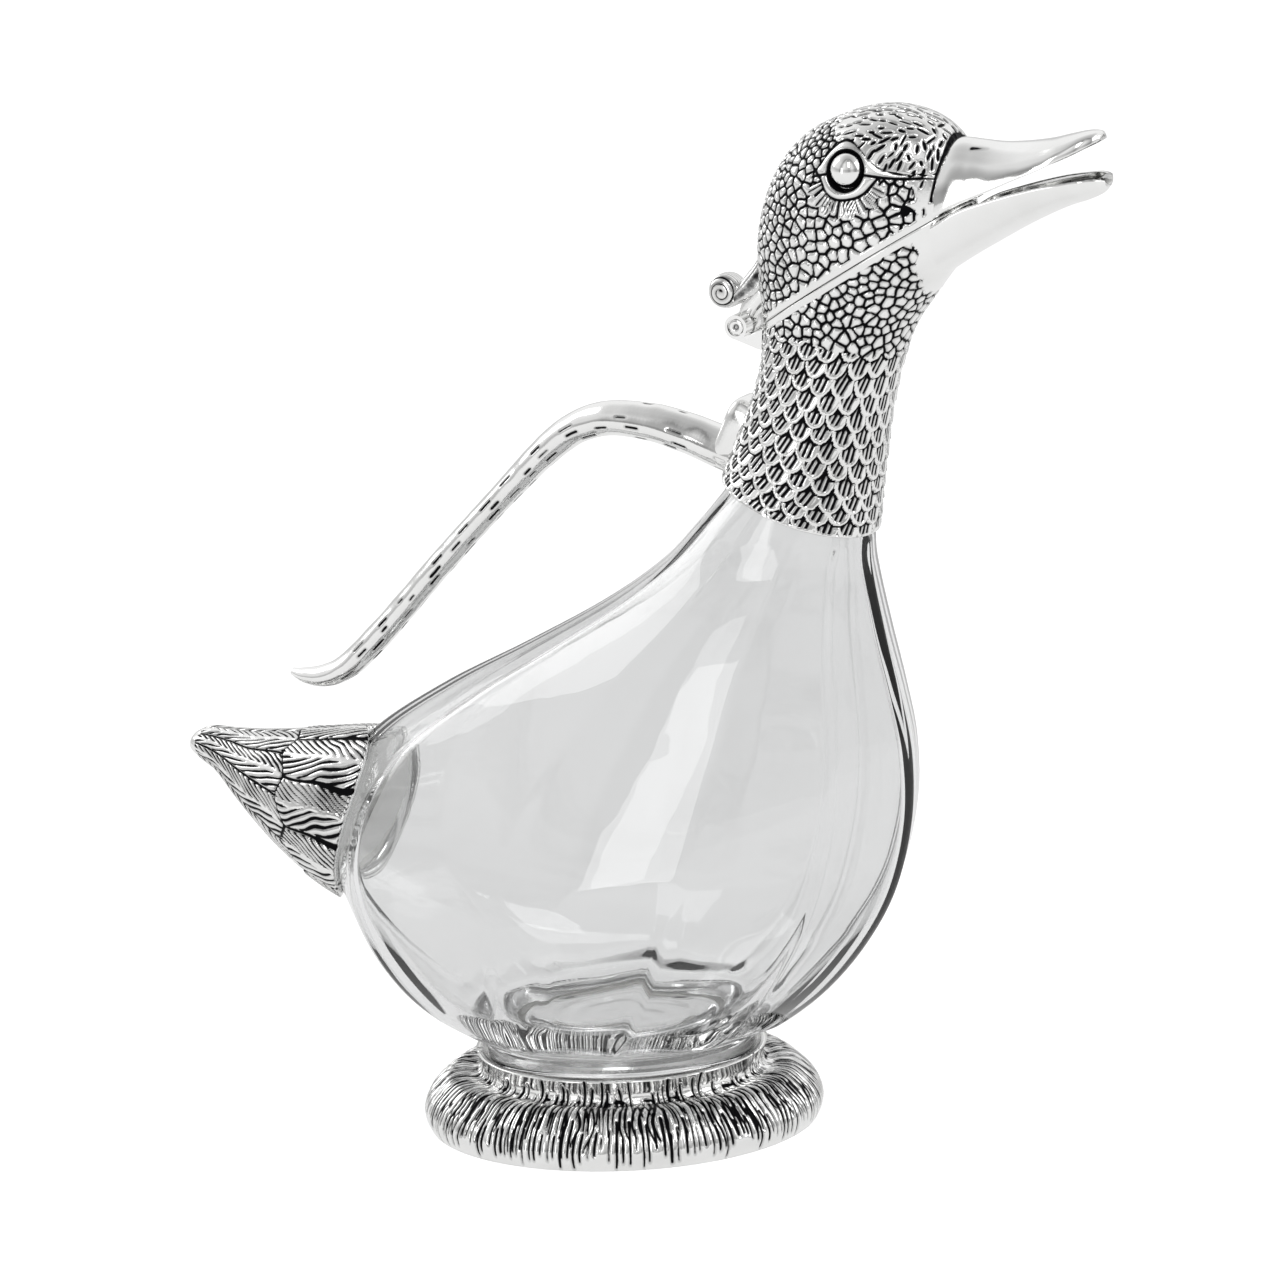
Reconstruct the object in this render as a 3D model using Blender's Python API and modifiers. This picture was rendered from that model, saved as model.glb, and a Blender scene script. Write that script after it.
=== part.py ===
"""Duck-shaped wine decanter: glass body with silver-plated neck, hinged head, handle, tail and foot.

Tables are in millimetres, measured from the centre of the foot on the table: X towards the bill,
Z up, and Y across. The object is mirrored about Y = 0. The empty `decanter` moves everything so that
the origin is under the middle of the object's box, and the empty `lid_hinge` carries what tips back.
"""

import math

import bmesh
import bpy
import numpy as np
from mathutils import Matrix, Vector

MM = 0.001
GAP = 0.3  # kept between pieces that touch

# ---------------------------------------------------------------- driving dimensions
BILL_TIP_X = 154.4
TAIL_TIP_X = -130.0
FOOT_X = -(BILL_TIP_X + TAIL_TIP_X) / 2

PARTING_POINT = (82.3, 241.1)  # a point of the plane between lid and collar, seen from the side
PARTING_SLOPE = 0.6
PARTING_GAP = 0.2  # each side of the plane

HINGE = (47.4, 224.0)
BARREL_R = 3.3
PIN_R = 1.5
PIN_BORE_R = 1.62
PIN_HEAD_R = 2.1
PIN_HEAD_T = 0.5
COUNTERBORE_R = 2.4
COUNTERBORE_DEPTH = 0.8
LID_KNUCKLE_HALF = 3.1
BRACKET_INNER = 3.4
BRACKET_OUTER = 7.2
KNUCKLE_ROOM = 0.5
FLUSH = 0.01  # keeps two end faces of a union out of one plane
THROUGH = 12.0  # reach of a cutter that goes right through the hinge

NECK_FOOT = (61.4, 176.6)  # centre of the collar's lower rim
NECK_TILT = math.radians(17.5)
GLASS_NECK_END = 25.0  # distances along the neck's axis from NECK_FOOT
GASKET_T = 1.7
LEDGE_START = 27.3
LEDGE_T = 2.0
LEDGE_BORE_R = 12.8

EYE_CENTRE = (87.8, 17.3, 270.5)
EYE_R = 4.2

SEGMENTS = 40
BUST_SEGMENTS = 32
CREASES = (0, 32, 65, 102, 142, 180)  # angles of the glass's soft edges, from the front
CREASE_DEPTH = 0.45

# Rows of a loft: back x, back z, front x, front z, half width, widest place from the back, taper of the back
GLASS_ROWS = (
    (-36.2, 14.5, 36.2, 14.5, 36.2, 0.5, 0.0),
    (-36.4, 20.0, 36.4, 20.0, 36.4, 0.5, 0.0),
    (-37.5, 25.5, 37.5, 25.5, 37.5, 0.5, 0.0),
    (-51.0, 30.5, 48.0, 30.0, 47.5, 0.53, 0.04),
    (-67.0, 40.0, 62.5, 41.0, 53.0, 0.55, 0.10),
    (-80.5, 53.5, 75.0, 55.0, 55.5, 0.56, 0.17),
    (-88.0, 69.0, 84.5, 71.0, 54.5, 0.57, 0.24),
    (-85.5, 86.0, 90.0, 90.0, 51.5, 0.58, 0.30),
    (-73.0, 102.5, 91.0, 108.0, 46.5, 0.58, 0.33),
    (-49.5, 118.0, 88.5, 124.0, 40.5, 0.57, 0.30),
    (-22.5, 132.0, 85.0, 139.0, 35.0, 0.55, 0.22),
    (2.0, 145.5, 82.5, 151.0, 29.0, 0.53, 0.12),
    (20.0, 158.0, 81.0, 160.5, 24.0, 0.51, 0.04),
    (32.5, 170.5, 80.8, 166.5, 20.6, 0.5, 0.0),
)
FLOOR_ROW = (-29.0, 23.5, 29.0, 23.5, 29.0, 0.5, 0.0)
FIRST_INNER = 3  # the first of the rows that the inside follows
INSETS = (9.5, 6.5, 4.5, 3.5, 3.5, 4.0, 4.5, 4.5, 4.0, 4.0, 3.5)  # how far inside each of them
# Along the neck's axis: distance, outer radius and bore radius of the glass
GLASS_NECK = (
    (0.0, 19.2, 15.6),
    (4.0, 17.6, 13.9),
    (8.0, 16.1, 12.6),
    (12.0, 15.3, 12.0),
    (19.0, 15.0, 11.9),
    (GLASS_NECK_END, 15.0, 11.9),
)
SOCKET = (
    (-12.0, 24.0),
    (-2.0, 20.4),
    (0.0, 20.1),
    (6.0, 18.8),
    (12.0, 17.7),
    (18.0, 16.9),
    (LEDGE_START, 16.4),
)
CEMENT_SPAN = (10.0, 24.0)

BUST_OUTER = (
    (40.9, 184.5, 81.9, 168.8, 21.9, 0.5, 0.0),
    (43.7, 191.0, 83.4, 178.3, 20.7, 0.5, 0.0),
    (47.7, 199.8, 85.3, 189.5, 19.4, 0.5, 0.0),
    (51.4, 208.8, 87.6, 201.5, 18.5, 0.5, 0.0),
    (53.6, 217.5, 91.0, 214.0, 18.1, 0.5, 0.0),
    (54.2, 226.2, 96.2, 226.0, 18.3, 0.5, 0.0),
    (53.2, 236.5, 104.6, 237.2, 19.2, 0.52, 0.0),
    (53.2, 247.5, 112.2, 247.5, 20.6, 0.52, 0.0),
    (55.8, 258.4, 114.4, 257.5, 21.2, 0.51, 0.0),
    (61.0, 268.8, 114.4, 267.2, 20.3, 0.5, 0.0),
    (68.8, 276.9, 112.4, 275.6, 17.2, 0.5, 0.0),
    (79.4, 282.2, 106.2, 281.4, 11.4, 0.5, 0.0),
    (88.0, 284.6, 98.0, 284.4, 4.6, 0.5, 0.0),
)
BUST_INNER = (
    (54.9, 209.3, 85.5, 199.7, 16.0, 0.5, 0.0),
    (56.0, 217.6, 88.8, 213.6, 16.0, 0.5, 0.0),
    (56.4, 226.4, 94.0, 226.0, 16.2, 0.5, 0.0),
    (55.4, 236.5, 102.3, 237.2, 17.1, 0.52, 0.0),
    (55.4, 247.2, 109.8, 247.5, 18.5, 0.52, 0.0),
    (58.0, 257.4, 112.0, 257.2, 19.0, 0.51, 0.0),
    (63.2, 267.2, 111.8, 266.2, 18.0, 0.5, 0.0),
    (71.0, 274.8, 109.4, 273.8, 14.8, 0.5, 0.0),
    (81.0, 279.6, 103.4, 279.0, 9.0, 0.5, 0.0),
    (89.0, 282.0, 96.6, 281.8, 3.0, 0.5, 0.0),
)

# Rows of a bill: x, z of the edge, z of the ridge or keel, half width
UPPER_BILL = (
    (103.0, 254.0, 274.0, 12.4),
    (109.0, 257.6, 276.4, 12.4),
    (113.0, 260.0, 277.2, 12.3),
    (118.0, 262.4, 276.9, 11.8),
    (124.0, 265.0, 276.6, 11.2),
    (131.0, 268.2, 277.1, 10.7),
    (138.0, 271.2, 278.2, 10.4),
    (143.5, 273.9, 279.6, 9.7),
    (148.3, 276.2, 280.7, 8.0),
    (151.6, 277.9, 280.9, 5.0),
    (153.0, 278.7, 280.3, 2.2),
)
UPPER_HOLLOW = (
    (99.0, 248.0, 269.5, 10.2),
    (109.0, 253.0, 273.6, 10.4),
    (118.0, 258.0, 275.0, 9.9),
    (124.0, 261.0, 274.8, 9.4),
    (131.0, 264.5, 275.4, 8.9),
    (138.0, 267.5, 276.6, 8.6),
    (143.5, 270.0, 278.1, 7.8),
    (148.3, 272.6, 279.3, 6.0),
    (150.8, 274.6, 279.7, 3.6),
)
LOWER_BILL = (
    (98.0, 249.3, 234.5, 12.6),
    (104.0, 252.9, 238.6, 12.8),
    (111.0, 257.1, 243.2, 12.7),
    (116.5, 260.2, 246.6, 12.2),
    (124.0, 262.8, 250.9, 11.4),
    (131.0, 264.9, 254.8, 10.8),
    (138.0, 266.7, 258.3, 10.3),
    (144.0, 267.8, 260.9, 9.6),
    (149.0, 268.6, 262.6, 8.2),
    (152.6, 268.7, 264.3, 5.6),
    (BILL_TIP_X, 268.2, 266.2, 2.6),
)
LOWER_CHANNEL = (
    (94.0, 262.0, 236.0, 10.6),
    (104.0, 264.0, 241.6, 11.0),
    (111.0, 266.0, 245.6, 10.8),
    (116.5, 267.0, 248.8, 10.3),
    (124.0, 269.0, 253.0, 9.6),
    (131.0, 271.0, 256.8, 9.0),
    (138.0, 273.0, 260.2, 8.5),
    (144.0, 274.5, 262.8, 7.8),
    (149.0, 275.0, 264.5, 6.2),
    (151.8, 275.0, 266.0, 4.0),
)

TAIL_OUTER = (
    (-60.0, 103.6, -77.6, 53.6, 21.4, 0.5, 0.0),
    (-76.0, 102.8, -87.4, 58.8, 20.9, 0.5, 0.0),
    (-88.0, 101.4, -97.0, 65.4, 19.0, 0.5, 0.0),
    (-98.0, 100.4, -105.6, 72.7, 15.8, 0.5, 0.0),
    (-108.0, 99.5, -113.6, 80.4, 11.9, 0.5, 0.0),
    (-117.5, 99.1, -120.8, 87.8, 7.9, 0.5, 0.0),
    (-124.6, 98.8, -126.4, 92.6, 5.0, 0.5, 0.0),
    (-128.6, 97.4, TAIL_TIP_X + 0.2, 94.6, 2.3, 0.5, 0.0),
)
TAIL_INNER = (
    (-58.0, 101.2, -76.0, 57.4, 19.0, 0.5, 0.0),
    (-76.4, 100.3, -86.6, 62.6, 18.3, 0.5, 0.0),
    (-88.0, 98.8, -95.6, 69.2, 16.2, 0.5, 0.0),
    (-98.0, 97.6, -103.8, 76.4, 12.8, 0.5, 0.0),
    (-108.0, 96.6, -111.4, 84.0, 8.8, 0.5, 0.0),
    (-114.5, 96.2, -116.6, 89.0, 5.6, 0.5, 0.0),
)
TAIL_BEDDING = 1.2  # from the glass to the edge of the tail casting
TAIL_CEMENT_T = 4.0  # its thickness off the glass
TAIL_CEMENT_WIDTH = 4.5

# Foot profile: radius, z, from the lip down the outside, then up the inside
FOOT_PROFILE = (
    (37.9, 20.9),
    (39.6, 20.9),
    (39.0, 19.2),
    (38.5, 17.2),
    (38.9, 15.4),
    (40.6, 14.5),
    (43.5, 14.9),
    (47.0, 14.3),
    (50.3, 11.7),
    (53.0, 8.6),
    (54.3, 5.2),
    (54.0, 2.4),
    (52.9, 0.0),
    (50.6, 0.0),
    (50.8, 5.0),
    (48.4, 9.0),
    (44.0, 10.9),
    (32.0, 10.9),
    (32.0, 12.6),
    (37.9, 12.6),
)
FOOT_STEPS = 48
CEMENT_BED = ((32.6, 12.9), (37.3, 14.2))  # inner radius and bottom, outer radius and top

# Handle centre line: x, z, half thickness
HANDLE = (
    (47.0, 187.5, 6.6),
    (38.0, 189.6, 5.7),
    (29.0, 192.4, 5.4),
    (18.0, 194.8, 5.0),
    (6.0, 195.3, 4.7),
    (-2.5, 193.3, 4.5),
    (-9.3, 189.6, 4.2),
    (-16.7, 183.6, 3.9),
    (-25.2, 175.4, 3.6),
    (-34.7, 166.0, 3.4),
    (-44.3, 156.3, 3.4),
    (-53.9, 146.2, 3.4),
    (-63.6, 135.8, 3.5),
    (-73.3, 126.0, 3.6),
    (-80.5, 119.9, 3.4),
    (-87.0, 117.0, 3.0),
    (-93.0, 116.6, 2.3),
    (-97.4, 117.4, 1.1),
)
HANDLE_WIDTH = 1.2  # its width over its thickness
PAD_CENTRE = (45.0, 193.6)
PAD_SIZE = (10.4, 15.0, 21.0)
PAD_TILT = math.radians(24)
PAD_ROUND = 3.2

# Scroll of the thumb lever: a spiral about this centre
SCROLL = (41.9, 232.4)
SCROLL_R = 4.7
SCROLL_HALF = 4.2
STRIP = (
    (45.0, 228.9),
    (48.0, 229.4),
    (60.0, 230.0),
    (60.0, 248.4),
    (54.4, 247.6),
    (51.6, 240.6),
    (47.4, 236.4),
    (44.0, 234.0),
)
LUG = (
    (47.0, 227.55),
    (44.4, 228.6),
    (44.0, 231.0),
    (58.0, 238.0),
    (58.0, 226.3),
    (53.2, 223.4),
    (49.6, 221.5),
)
BRACKET_WEB = (
    (45.9, 221.1),
    (53.5, 218.6),
    (58.0, 217.6),
    (58.0, 225.2),
    (53.6, 222.7),
    (50.6, 221.0),
    (47.4, 224.0),
)


# ---------------------------------------------------------------- materials
def material(name, colour, roughness, metallic, transmission=0.0):
    made = bpy.data.materials.new(name)
    made.use_nodes = True
    shader = made.node_tree.nodes["Principled BSDF"]
    shader.inputs["Base Color"].default_value = (*colour, 1)
    shader.inputs["Roughness"].default_value = roughness
    shader.inputs["Metallic"].default_value = metallic
    shader.inputs["Transmission Weight"].default_value = transmission
    return made


# ---------------------------------------------------------------- shape tools
def new_object(name, mesh, where, look=None):
    made = bpy.data.objects.new(name, mesh)
    where.objects.link(made)
    made.parent = root
    if look is not None:
        mesh.materials.append(look)
    if where is cutters:
        made.hide_render = True
        made.display_type = "WIRE"
    return made


def smooth_rows(rows, between):
    """The rows, with more rows between them on a Catmull-Rom curve."""
    rows = np.array(rows, float)
    padded = np.vstack([2 * rows[0] - rows[1], rows, 2 * rows[-1] - rows[-2]])
    out = []
    for i in range(len(rows) - 1):
        a, b, c, d = padded[i : i + 4]
        for step in range(between):
            t = step / between
            square, cube = 2 * a - 5 * b + 4 * c - d, 3 * b - a - 3 * c + d
            out.append(b + (c - a) * t / 2 + square * t**2 / 2 + cube * t**3 / 2)
    out.append(rows[-1])
    return np.array(out)


def angles_between_creases(count):
    """Angles round a glass section, with a point on each crease and the same number between any two."""
    each = count // (2 * (len(CREASES) - 1))
    half = []
    for a, b in zip(CREASES, CREASES[1:]):
        half += [a + (b - a) * k / each for k in range(each)]
    return half + [180] + [360 - a for a in reversed(half[1:])]


def crease_factor(angle, depth):
    """How far a panel of the glass is flattened at this angle, as a share of the radius."""
    folded = min(angle % 360, 360 - angle % 360)
    for a, b in zip(CREASES, CREASES[1:]):
        if a <= folded <= b:
            across = (folded - (a + b) / 2) / (b - a) * math.radians(36)
            return 1 - depth * (1 - math.cos(math.radians(18)) / math.cos(across))
    return 1.0


def section(row, angles, crease=0.0, grow=0.0):
    """Points round one section of a loft."""
    back, front = np.array(row[0:2]), np.array(row[2:4])
    half_width, widest, taper = row[4:7]
    length = np.linalg.norm(front - back)
    along = (front - back) / length
    middle = back + along * length * widest
    points = []
    for angle in angles:
        c, s = math.cos(math.radians(angle)), math.sin(math.radians(angle))
        reach = length * (1 - widest) if c > 0 else length * widest
        factor = crease_factor(angle, crease) if crease else 1.0
        flat = middle + along * (reach * factor + grow) * c
        side = (half_width * factor + grow) * s * (1 - taper * max(0.0, -c))
        points.append((flat[0], side, flat[1]))
    return points


def bill_section(row, count=10):
    """Points round one section of a bill: an arch over a flat side."""
    x, edge, ridge, half_width = row
    points = []
    for k in range(count + 1):
        t = math.pi * k / count
        points.append((x, half_width * math.cos(t), edge + (ridge - edge) * math.sin(t) ** 0.85))
    return points


def neck_section(distance, radius, angles):
    """A circle square to the neck's axis."""
    sin, cos = math.sin(NECK_TILT), math.cos(NECK_TILT)
    x, z = NECK_FOOT[0] + distance * sin, NECK_FOOT[1] + distance * cos
    back, front = (x - radius * cos, z + radius * sin), (x + radius * cos, z - radius * sin)
    return section((*back, *front, radius, 0.5, 0.0), angles)


def loft(name, rings, where, look=None, joined=False):
    """A closed skin over rings of points, capped at both ends, or with the last ring joined to the first."""
    work = bmesh.new()
    rows = [[work.verts.new(Vector(p) * MM) for p in ring] for ring in rings]
    pairs = list(zip(rows, rows[1:]))
    if joined:
        pairs.append((rows[-1], rows[0]))
    for low, high in pairs:
        for i in range(len(low)):
            j = (i + 1) % len(low)
            work.faces.new((low[i], low[j], high[j], high[i]))
    if not joined:
        work.faces.new(reversed(rows[0]))
        work.faces.new(rows[-1])
    bmesh.ops.recalc_face_normals(work, faces=work.faces)
    mesh = bpy.data.meshes.new(name)
    work.to_mesh(mesh)
    work.free()
    mesh.shade_smooth()
    mesh.set_sharp_from_angle(angle=math.radians(40))
    return new_object(name, mesh, where, look)


def ring_angles(count):
    return [360 * k / count for k in range(count)]


def turned(name, profile, steps, look):
    """A closed profile turned about Z with a Screw modifier."""
    mesh = bpy.data.meshes.new(name)
    points = [(r * MM, 0, z * MM) for r, z in profile]
    edges = [(i, (i + 1) % len(points)) for i in range(len(points))]
    mesh.from_pydata(points, edges, [])
    made = new_object(name, mesh, collection, look)
    screw = made.modifiers.new("turn", "SCREW")
    screw.axis = "Z"
    screw.steps = screw.render_steps = steps
    return made


def plate(name, outline, half_width, where, look=None):
    """A flat outline seen from the side, this wide each way from the middle."""
    curve = bpy.data.curves.new(name, "CURVE")
    curve.dimensions = "2D"
    curve.fill_mode = "BOTH"
    curve.extrude = half_width * MM
    spline = curve.splines.new("POLY")
    spline.points.add(len(outline) - 1)
    for point, (x, z) in zip(spline.points, outline):
        point.co = (x * MM, z * MM, 0, 1)
    spline.use_cyclic_u = True
    drawn = bpy.data.objects.new(name + "_curve", curve)
    drawn.rotation_euler = (math.radians(90), 0, 0)
    return meshed(drawn, name, where, look)


def meshed(drawn, name, where, look=None):
    """A curve object made a mesh object with its caps welded."""
    bpy.context.scene.collection.objects.link(drawn)
    bpy.context.view_layer.update()
    mesh = bpy.data.meshes.new_from_object(drawn.evaluated_get(bpy.context.evaluated_depsgraph_get()))
    mesh.transform(drawn.matrix_world)
    bpy.data.objects.remove(drawn)
    work = bmesh.new()
    work.from_mesh(mesh)
    bmesh.ops.remove_doubles(work, verts=work.verts, dist=1e-6)
    bmesh.ops.recalc_face_normals(work, faces=work.faces)
    work.to_mesh(mesh)
    work.free()
    mesh.name = name
    return new_object(name, mesh, where, look)


def cylinder(name, centre, radius, y_low, y_high, where, look=None, sides=28):
    """A cylinder across the object, from one Y to another."""
    work = bmesh.new()
    turn = Matrix.Translation(Vector((centre[0], (y_low + y_high) / 2, centre[1])) * MM) @ Matrix.Rotation(
        math.radians(90), 4, "X"
    )
    bmesh.ops.create_cone(
        work,
        cap_ends=True,
        segments=sides,
        radius1=radius * MM,
        radius2=radius * MM,
        depth=(y_high - y_low) * MM,
        matrix=turn,
    )
    mesh = bpy.data.meshes.new(name)
    work.to_mesh(mesh)
    work.free()
    return new_object(name, mesh, where, look)


def ball(name, centre, radius, where, look=None, u=20, v=12):
    work = bmesh.new()
    bmesh.ops.create_uvsphere(
        work, u_segments=u, v_segments=v, radius=radius * MM, matrix=Matrix.Translation(Vector(centre) * MM)
    )
    mesh = bpy.data.meshes.new(name)
    work.to_mesh(mesh)
    work.free()
    mesh.shade_smooth()
    return new_object(name, mesh, where, look)


def combine(target, other, operation):
    boolean = target.modifiers.new(operation.lower() + "_" + other.name, "BOOLEAN")
    boolean.operation = operation
    boolean.object = other
    boolean.solver = "EXACT"


def half_space(name, above):
    """A block that fills the space above or below the parting plane, up to its gap."""
    size = 400
    angle = math.atan(PARTING_SLOPE)
    normal = Vector((-math.sin(angle), 0, math.cos(angle)))
    side = 1 if above else -1
    centre = Vector((PARTING_POINT[0], 0, PARTING_POINT[1])) + normal * side * (size / 2 - PARTING_GAP)
    work = bmesh.new()
    bmesh.ops.create_cube(
        work, size=size * MM, matrix=Matrix.Translation(centre * MM) @ Matrix.Rotation(-angle, 4, "Y")
    )
    mesh = bpy.data.meshes.new(name)
    work.to_mesh(mesh)
    work.free()
    return new_object(name, mesh, cutters)


# ---------------------------------------------------------------- glass
def glass_rings(grow=0.0, with_neck=True):
    angles = angles_between_creases(SEGMENTS)
    rings = [section(row, angles, 0.0, grow) for row in GLASS_ROWS[:FIRST_INNER]]
    rows = smooth_rows(GLASS_ROWS, 2)[2 * FIRST_INNER - 1 :]
    rings += [section(row, angles, CREASE_DEPTH, grow) for row in rows]
    if with_neck:
        rings += [neck_section(s, outer + grow, angles) for s, outer, _ in GLASS_NECK]
    return rings


def glass_body():
    """The blown body: its outside, then its neck's rim and its inside down to the floor."""
    angles = angles_between_creases(SEGMENTS)
    rings = glass_rings()
    rings += [neck_section(s, bore, angles) for s, _, bore in reversed(GLASS_NECK)]
    for row, inset in reversed(list(zip(GLASS_ROWS[FIRST_INNER:], INSETS))):
        rings.append(section(row, angles, CREASE_DEPTH, -inset))
    rings.append(section(FLOOR_ROW, angles))
    return loft("glass_body", rings, collection, clear_glass)


# ---------------------------------------------------------------- neck, head and bills
def bust(name, rows, where, look=None, grow=0.0):
    angles = ring_angles(BUST_SEGMENTS)
    return loft(name, [section(row, angles, grow=grow) for row in rows], where, look)


def bill(name, rows, where):
    return loft(name, [bill_section(row) for row in rows], where)


def collar_and_lid():
    collar = bust("neck_collar", BUST_OUTER, collection, silver)
    lid = bust("head_lid", BUST_OUTER, collection, silver)
    cavity = bust("cavity", BUST_INNER, cutters)
    angles = ring_angles(BUST_SEGMENTS)
    socket = loft("socket", [neck_section(s, r, angles) for s, r in SOCKET], cutters)
    ledge_ends = (LEDGE_START - 2, LEDGE_START + LEDGE_T + 6)
    ledge_bore = loft("ledge_bore", [neck_section(s, LEDGE_BORE_R, angles) for s in ledge_ends], cutters)
    combine(collar, half_space("above_parting", True), "DIFFERENCE")
    combine(collar, bill("lower_bill", LOWER_BILL, cutters), "UNION")
    combine(collar, cavity, "DIFFERENCE")
    combine(collar, bill("lower_channel", LOWER_CHANNEL, cutters), "DIFFERENCE")
    combine(collar, socket, "DIFFERENCE")
    combine(collar, ledge_bore, "DIFFERENCE")

    combine(lid, half_space("below_parting", False), "DIFFERENCE")
    combine(lid, bill("upper_bill", UPPER_BILL, cutters), "UNION")
    combine(lid, cavity, "DIFFERENCE")
    combine(lid, bill("upper_hollow", UPPER_HOLLOW, cutters), "DIFFERENCE")
    x, y, z = EYE_CENTRE
    for side, name in ((-1, "eye_right"), (1, "eye_left")):
        combine(lid, ball(name + "_socket", (x, side * y, z), EYE_R + GAP, cutters), "DIFFERENCE")
        ball(name, (x, side * y, z), EYE_R, collection, silver)


# ---------------------------------------------------------------- hinge and thumb lever
def scroll_outline(count=20):
    """The curl's edge, a circle that runs into the strip."""
    turns = [2 * math.pi * k / count for k in range(count)]
    return [(SCROLL[0] + SCROLL_R * math.cos(a), SCROLL[1] + SCROLL_R * math.sin(a)) for a in turns]


def hinge_cylinder(name, radius, half_width, where=None, look=None, sides=28):
    """A cylinder on the hinge's axis, this wide each way from the middle."""
    return cylinder(name, HINGE, radius, -half_width, half_width, where or cutters, look, sides)


def thumb_lever():
    lever = plate("thumb_lever", scroll_outline(), SCROLL_HALF, collection, silver)
    combine(lever, plate("strip", STRIP, SCROLL_HALF - 0.4, cutters), "UNION")
    combine(lever, plate("lug", LUG, LID_KNUCKLE_HALF, cutters), "UNION")
    combine(lever, hinge_cylinder("lid_knuckle", BARREL_R, LID_KNUCKLE_HALF + FLUSH), "UNION")
    combine(lever, hinge_cylinder("lever_bore", PIN_BORE_R, THROUGH), "DIFFERENCE")
    combine(lever, bust_room, "DIFFERENCE")


def hinge_bracket():
    bracket = plate("hinge_bracket", BRACKET_WEB, BRACKET_OUTER, collection, silver)
    combine(bracket, hinge_cylinder("bracket_barrel", BARREL_R, BRACKET_OUTER + FLUSH), "UNION")
    combine(bracket, hinge_cylinder("knuckle_room", BARREL_R + KNUCKLE_ROOM, BRACKET_INNER), "DIFFERENCE")
    combine(bracket, hinge_cylinder("bracket_bore", PIN_BORE_R, THROUGH), "DIFFERENCE")
    for side in (-1, 1):
        low, high = sorted((side * (BRACKET_OUTER - COUNTERBORE_DEPTH), side * THROUGH))
        counterbore = cylinder(f"counterbore{side}", HINGE, COUNTERBORE_R, low, high, cutters)
        combine(bracket, counterbore, "DIFFERENCE")
    combine(bracket, bust_room, "DIFFERENCE")


def hinge_pin():
    half = BRACKET_OUTER - COUNTERBORE_DEPTH + 0.1
    pin = hinge_cylinder("hinge_pin", PIN_R, half + FLUSH, collection, silver, sides=24)
    for side in (-1, 1):
        low, high = sorted((side * half, side * (half + PIN_HEAD_T)))
        head = cylinder(f"pin_head{side}", HINGE, PIN_HEAD_R, low, high, cutters, sides=24)
        combine(pin, head, "UNION")


# ---------------------------------------------------------------- handle
def handle():
    curve = bpy.data.curves.new("handle", "CURVE")
    curve.dimensions = "3D"
    curve.bevel_depth = MM
    curve.bevel_resolution = 3
    curve.use_fill_caps = True
    spline = curve.splines.new("POLY")
    rows = smooth_rows(HANDLE, 2)
    spline.points.add(len(rows) - 1)
    for point, (x, z, half) in zip(spline.points, rows):
        point.co = (x * MM, 0, z * MM, 1)
        point.radius = half
    bar = meshed(bpy.data.objects.new("handle_curve", curve), "handle", collection, silver)
    bar.data.transform(Matrix.Scale(HANDLE_WIDTH, 4, (0, 1, 0)))
    bar.data.shade_smooth()

    work = bmesh.new()
    bmesh.ops.create_cube(
        work,
        size=MM,
        matrix=Matrix.Translation(Vector((PAD_CENTRE[0], 0, PAD_CENTRE[1])) * MM)
        @ Matrix.Rotation(PAD_TILT, 4, "Y")
        @ Matrix.Diagonal((*PAD_SIZE, 1)),
    )
    bmesh.ops.bevel(
        work, geom=list(work.edges), offset=PAD_ROUND * MM, segments=3, profile=0.5, affect="EDGES"
    )
    mesh = bpy.data.meshes.new("pad")
    work.to_mesh(mesh)
    work.free()
    combine(bar, new_object("pad", mesh, cutters), "UNION")
    combine(bar, bust_room, "DIFFERENCE")
    combine(bar, glass_room(GAP + 0.2, "glass_room_handle", with_neck=True), "DIFFERENCE")


# ---------------------------------------------------------------- tail, foot and bedding
def glass_room(grow, name, with_neck=False):
    return loft(name, glass_rings(grow, with_neck), cutters)


def tail_mount():
    angles = ring_angles(BUST_SEGMENTS)
    tail = loft("tail_mount", [section(row, angles) for row in TAIL_OUTER], collection, silver)
    combine(tail, loft("tail_hollow", [section(row, angles) for row in TAIL_INNER], cutters), "DIFFERENCE")
    combine(tail, glass_room(TAIL_BEDDING, "glass_room_tail"), "DIFFERENCE")
    rows = TAIL_INNER[:4]
    cement = loft("tail_cement", [section(row, angles, grow=-GAP) for row in rows], collection, plaster)
    middle = loft("cement_middle", [section(row, angles, grow=-GAP - TAIL_CEMENT_WIDTH) for row in rows], cutters)
    combine(cement, middle, "DIFFERENCE")
    combine(cement, glass_room(GAP, "glass_room_cement"), "DIFFERENCE")
    combine(cement, glass_room(TAIL_CEMENT_T, "cement_reach"), "INTERSECT")


def foot():
    ring = turned("foot_ring", FOOT_PROFILE, FOOT_STEPS, silver)
    ring.data.shade_smooth()
    (r_in, low), (r_out, high) = CEMENT_BED
    turned("foot_cement", ((r_in, high), (r_out, high), (r_out, low), (r_in, low)), 48, plaster)


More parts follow.
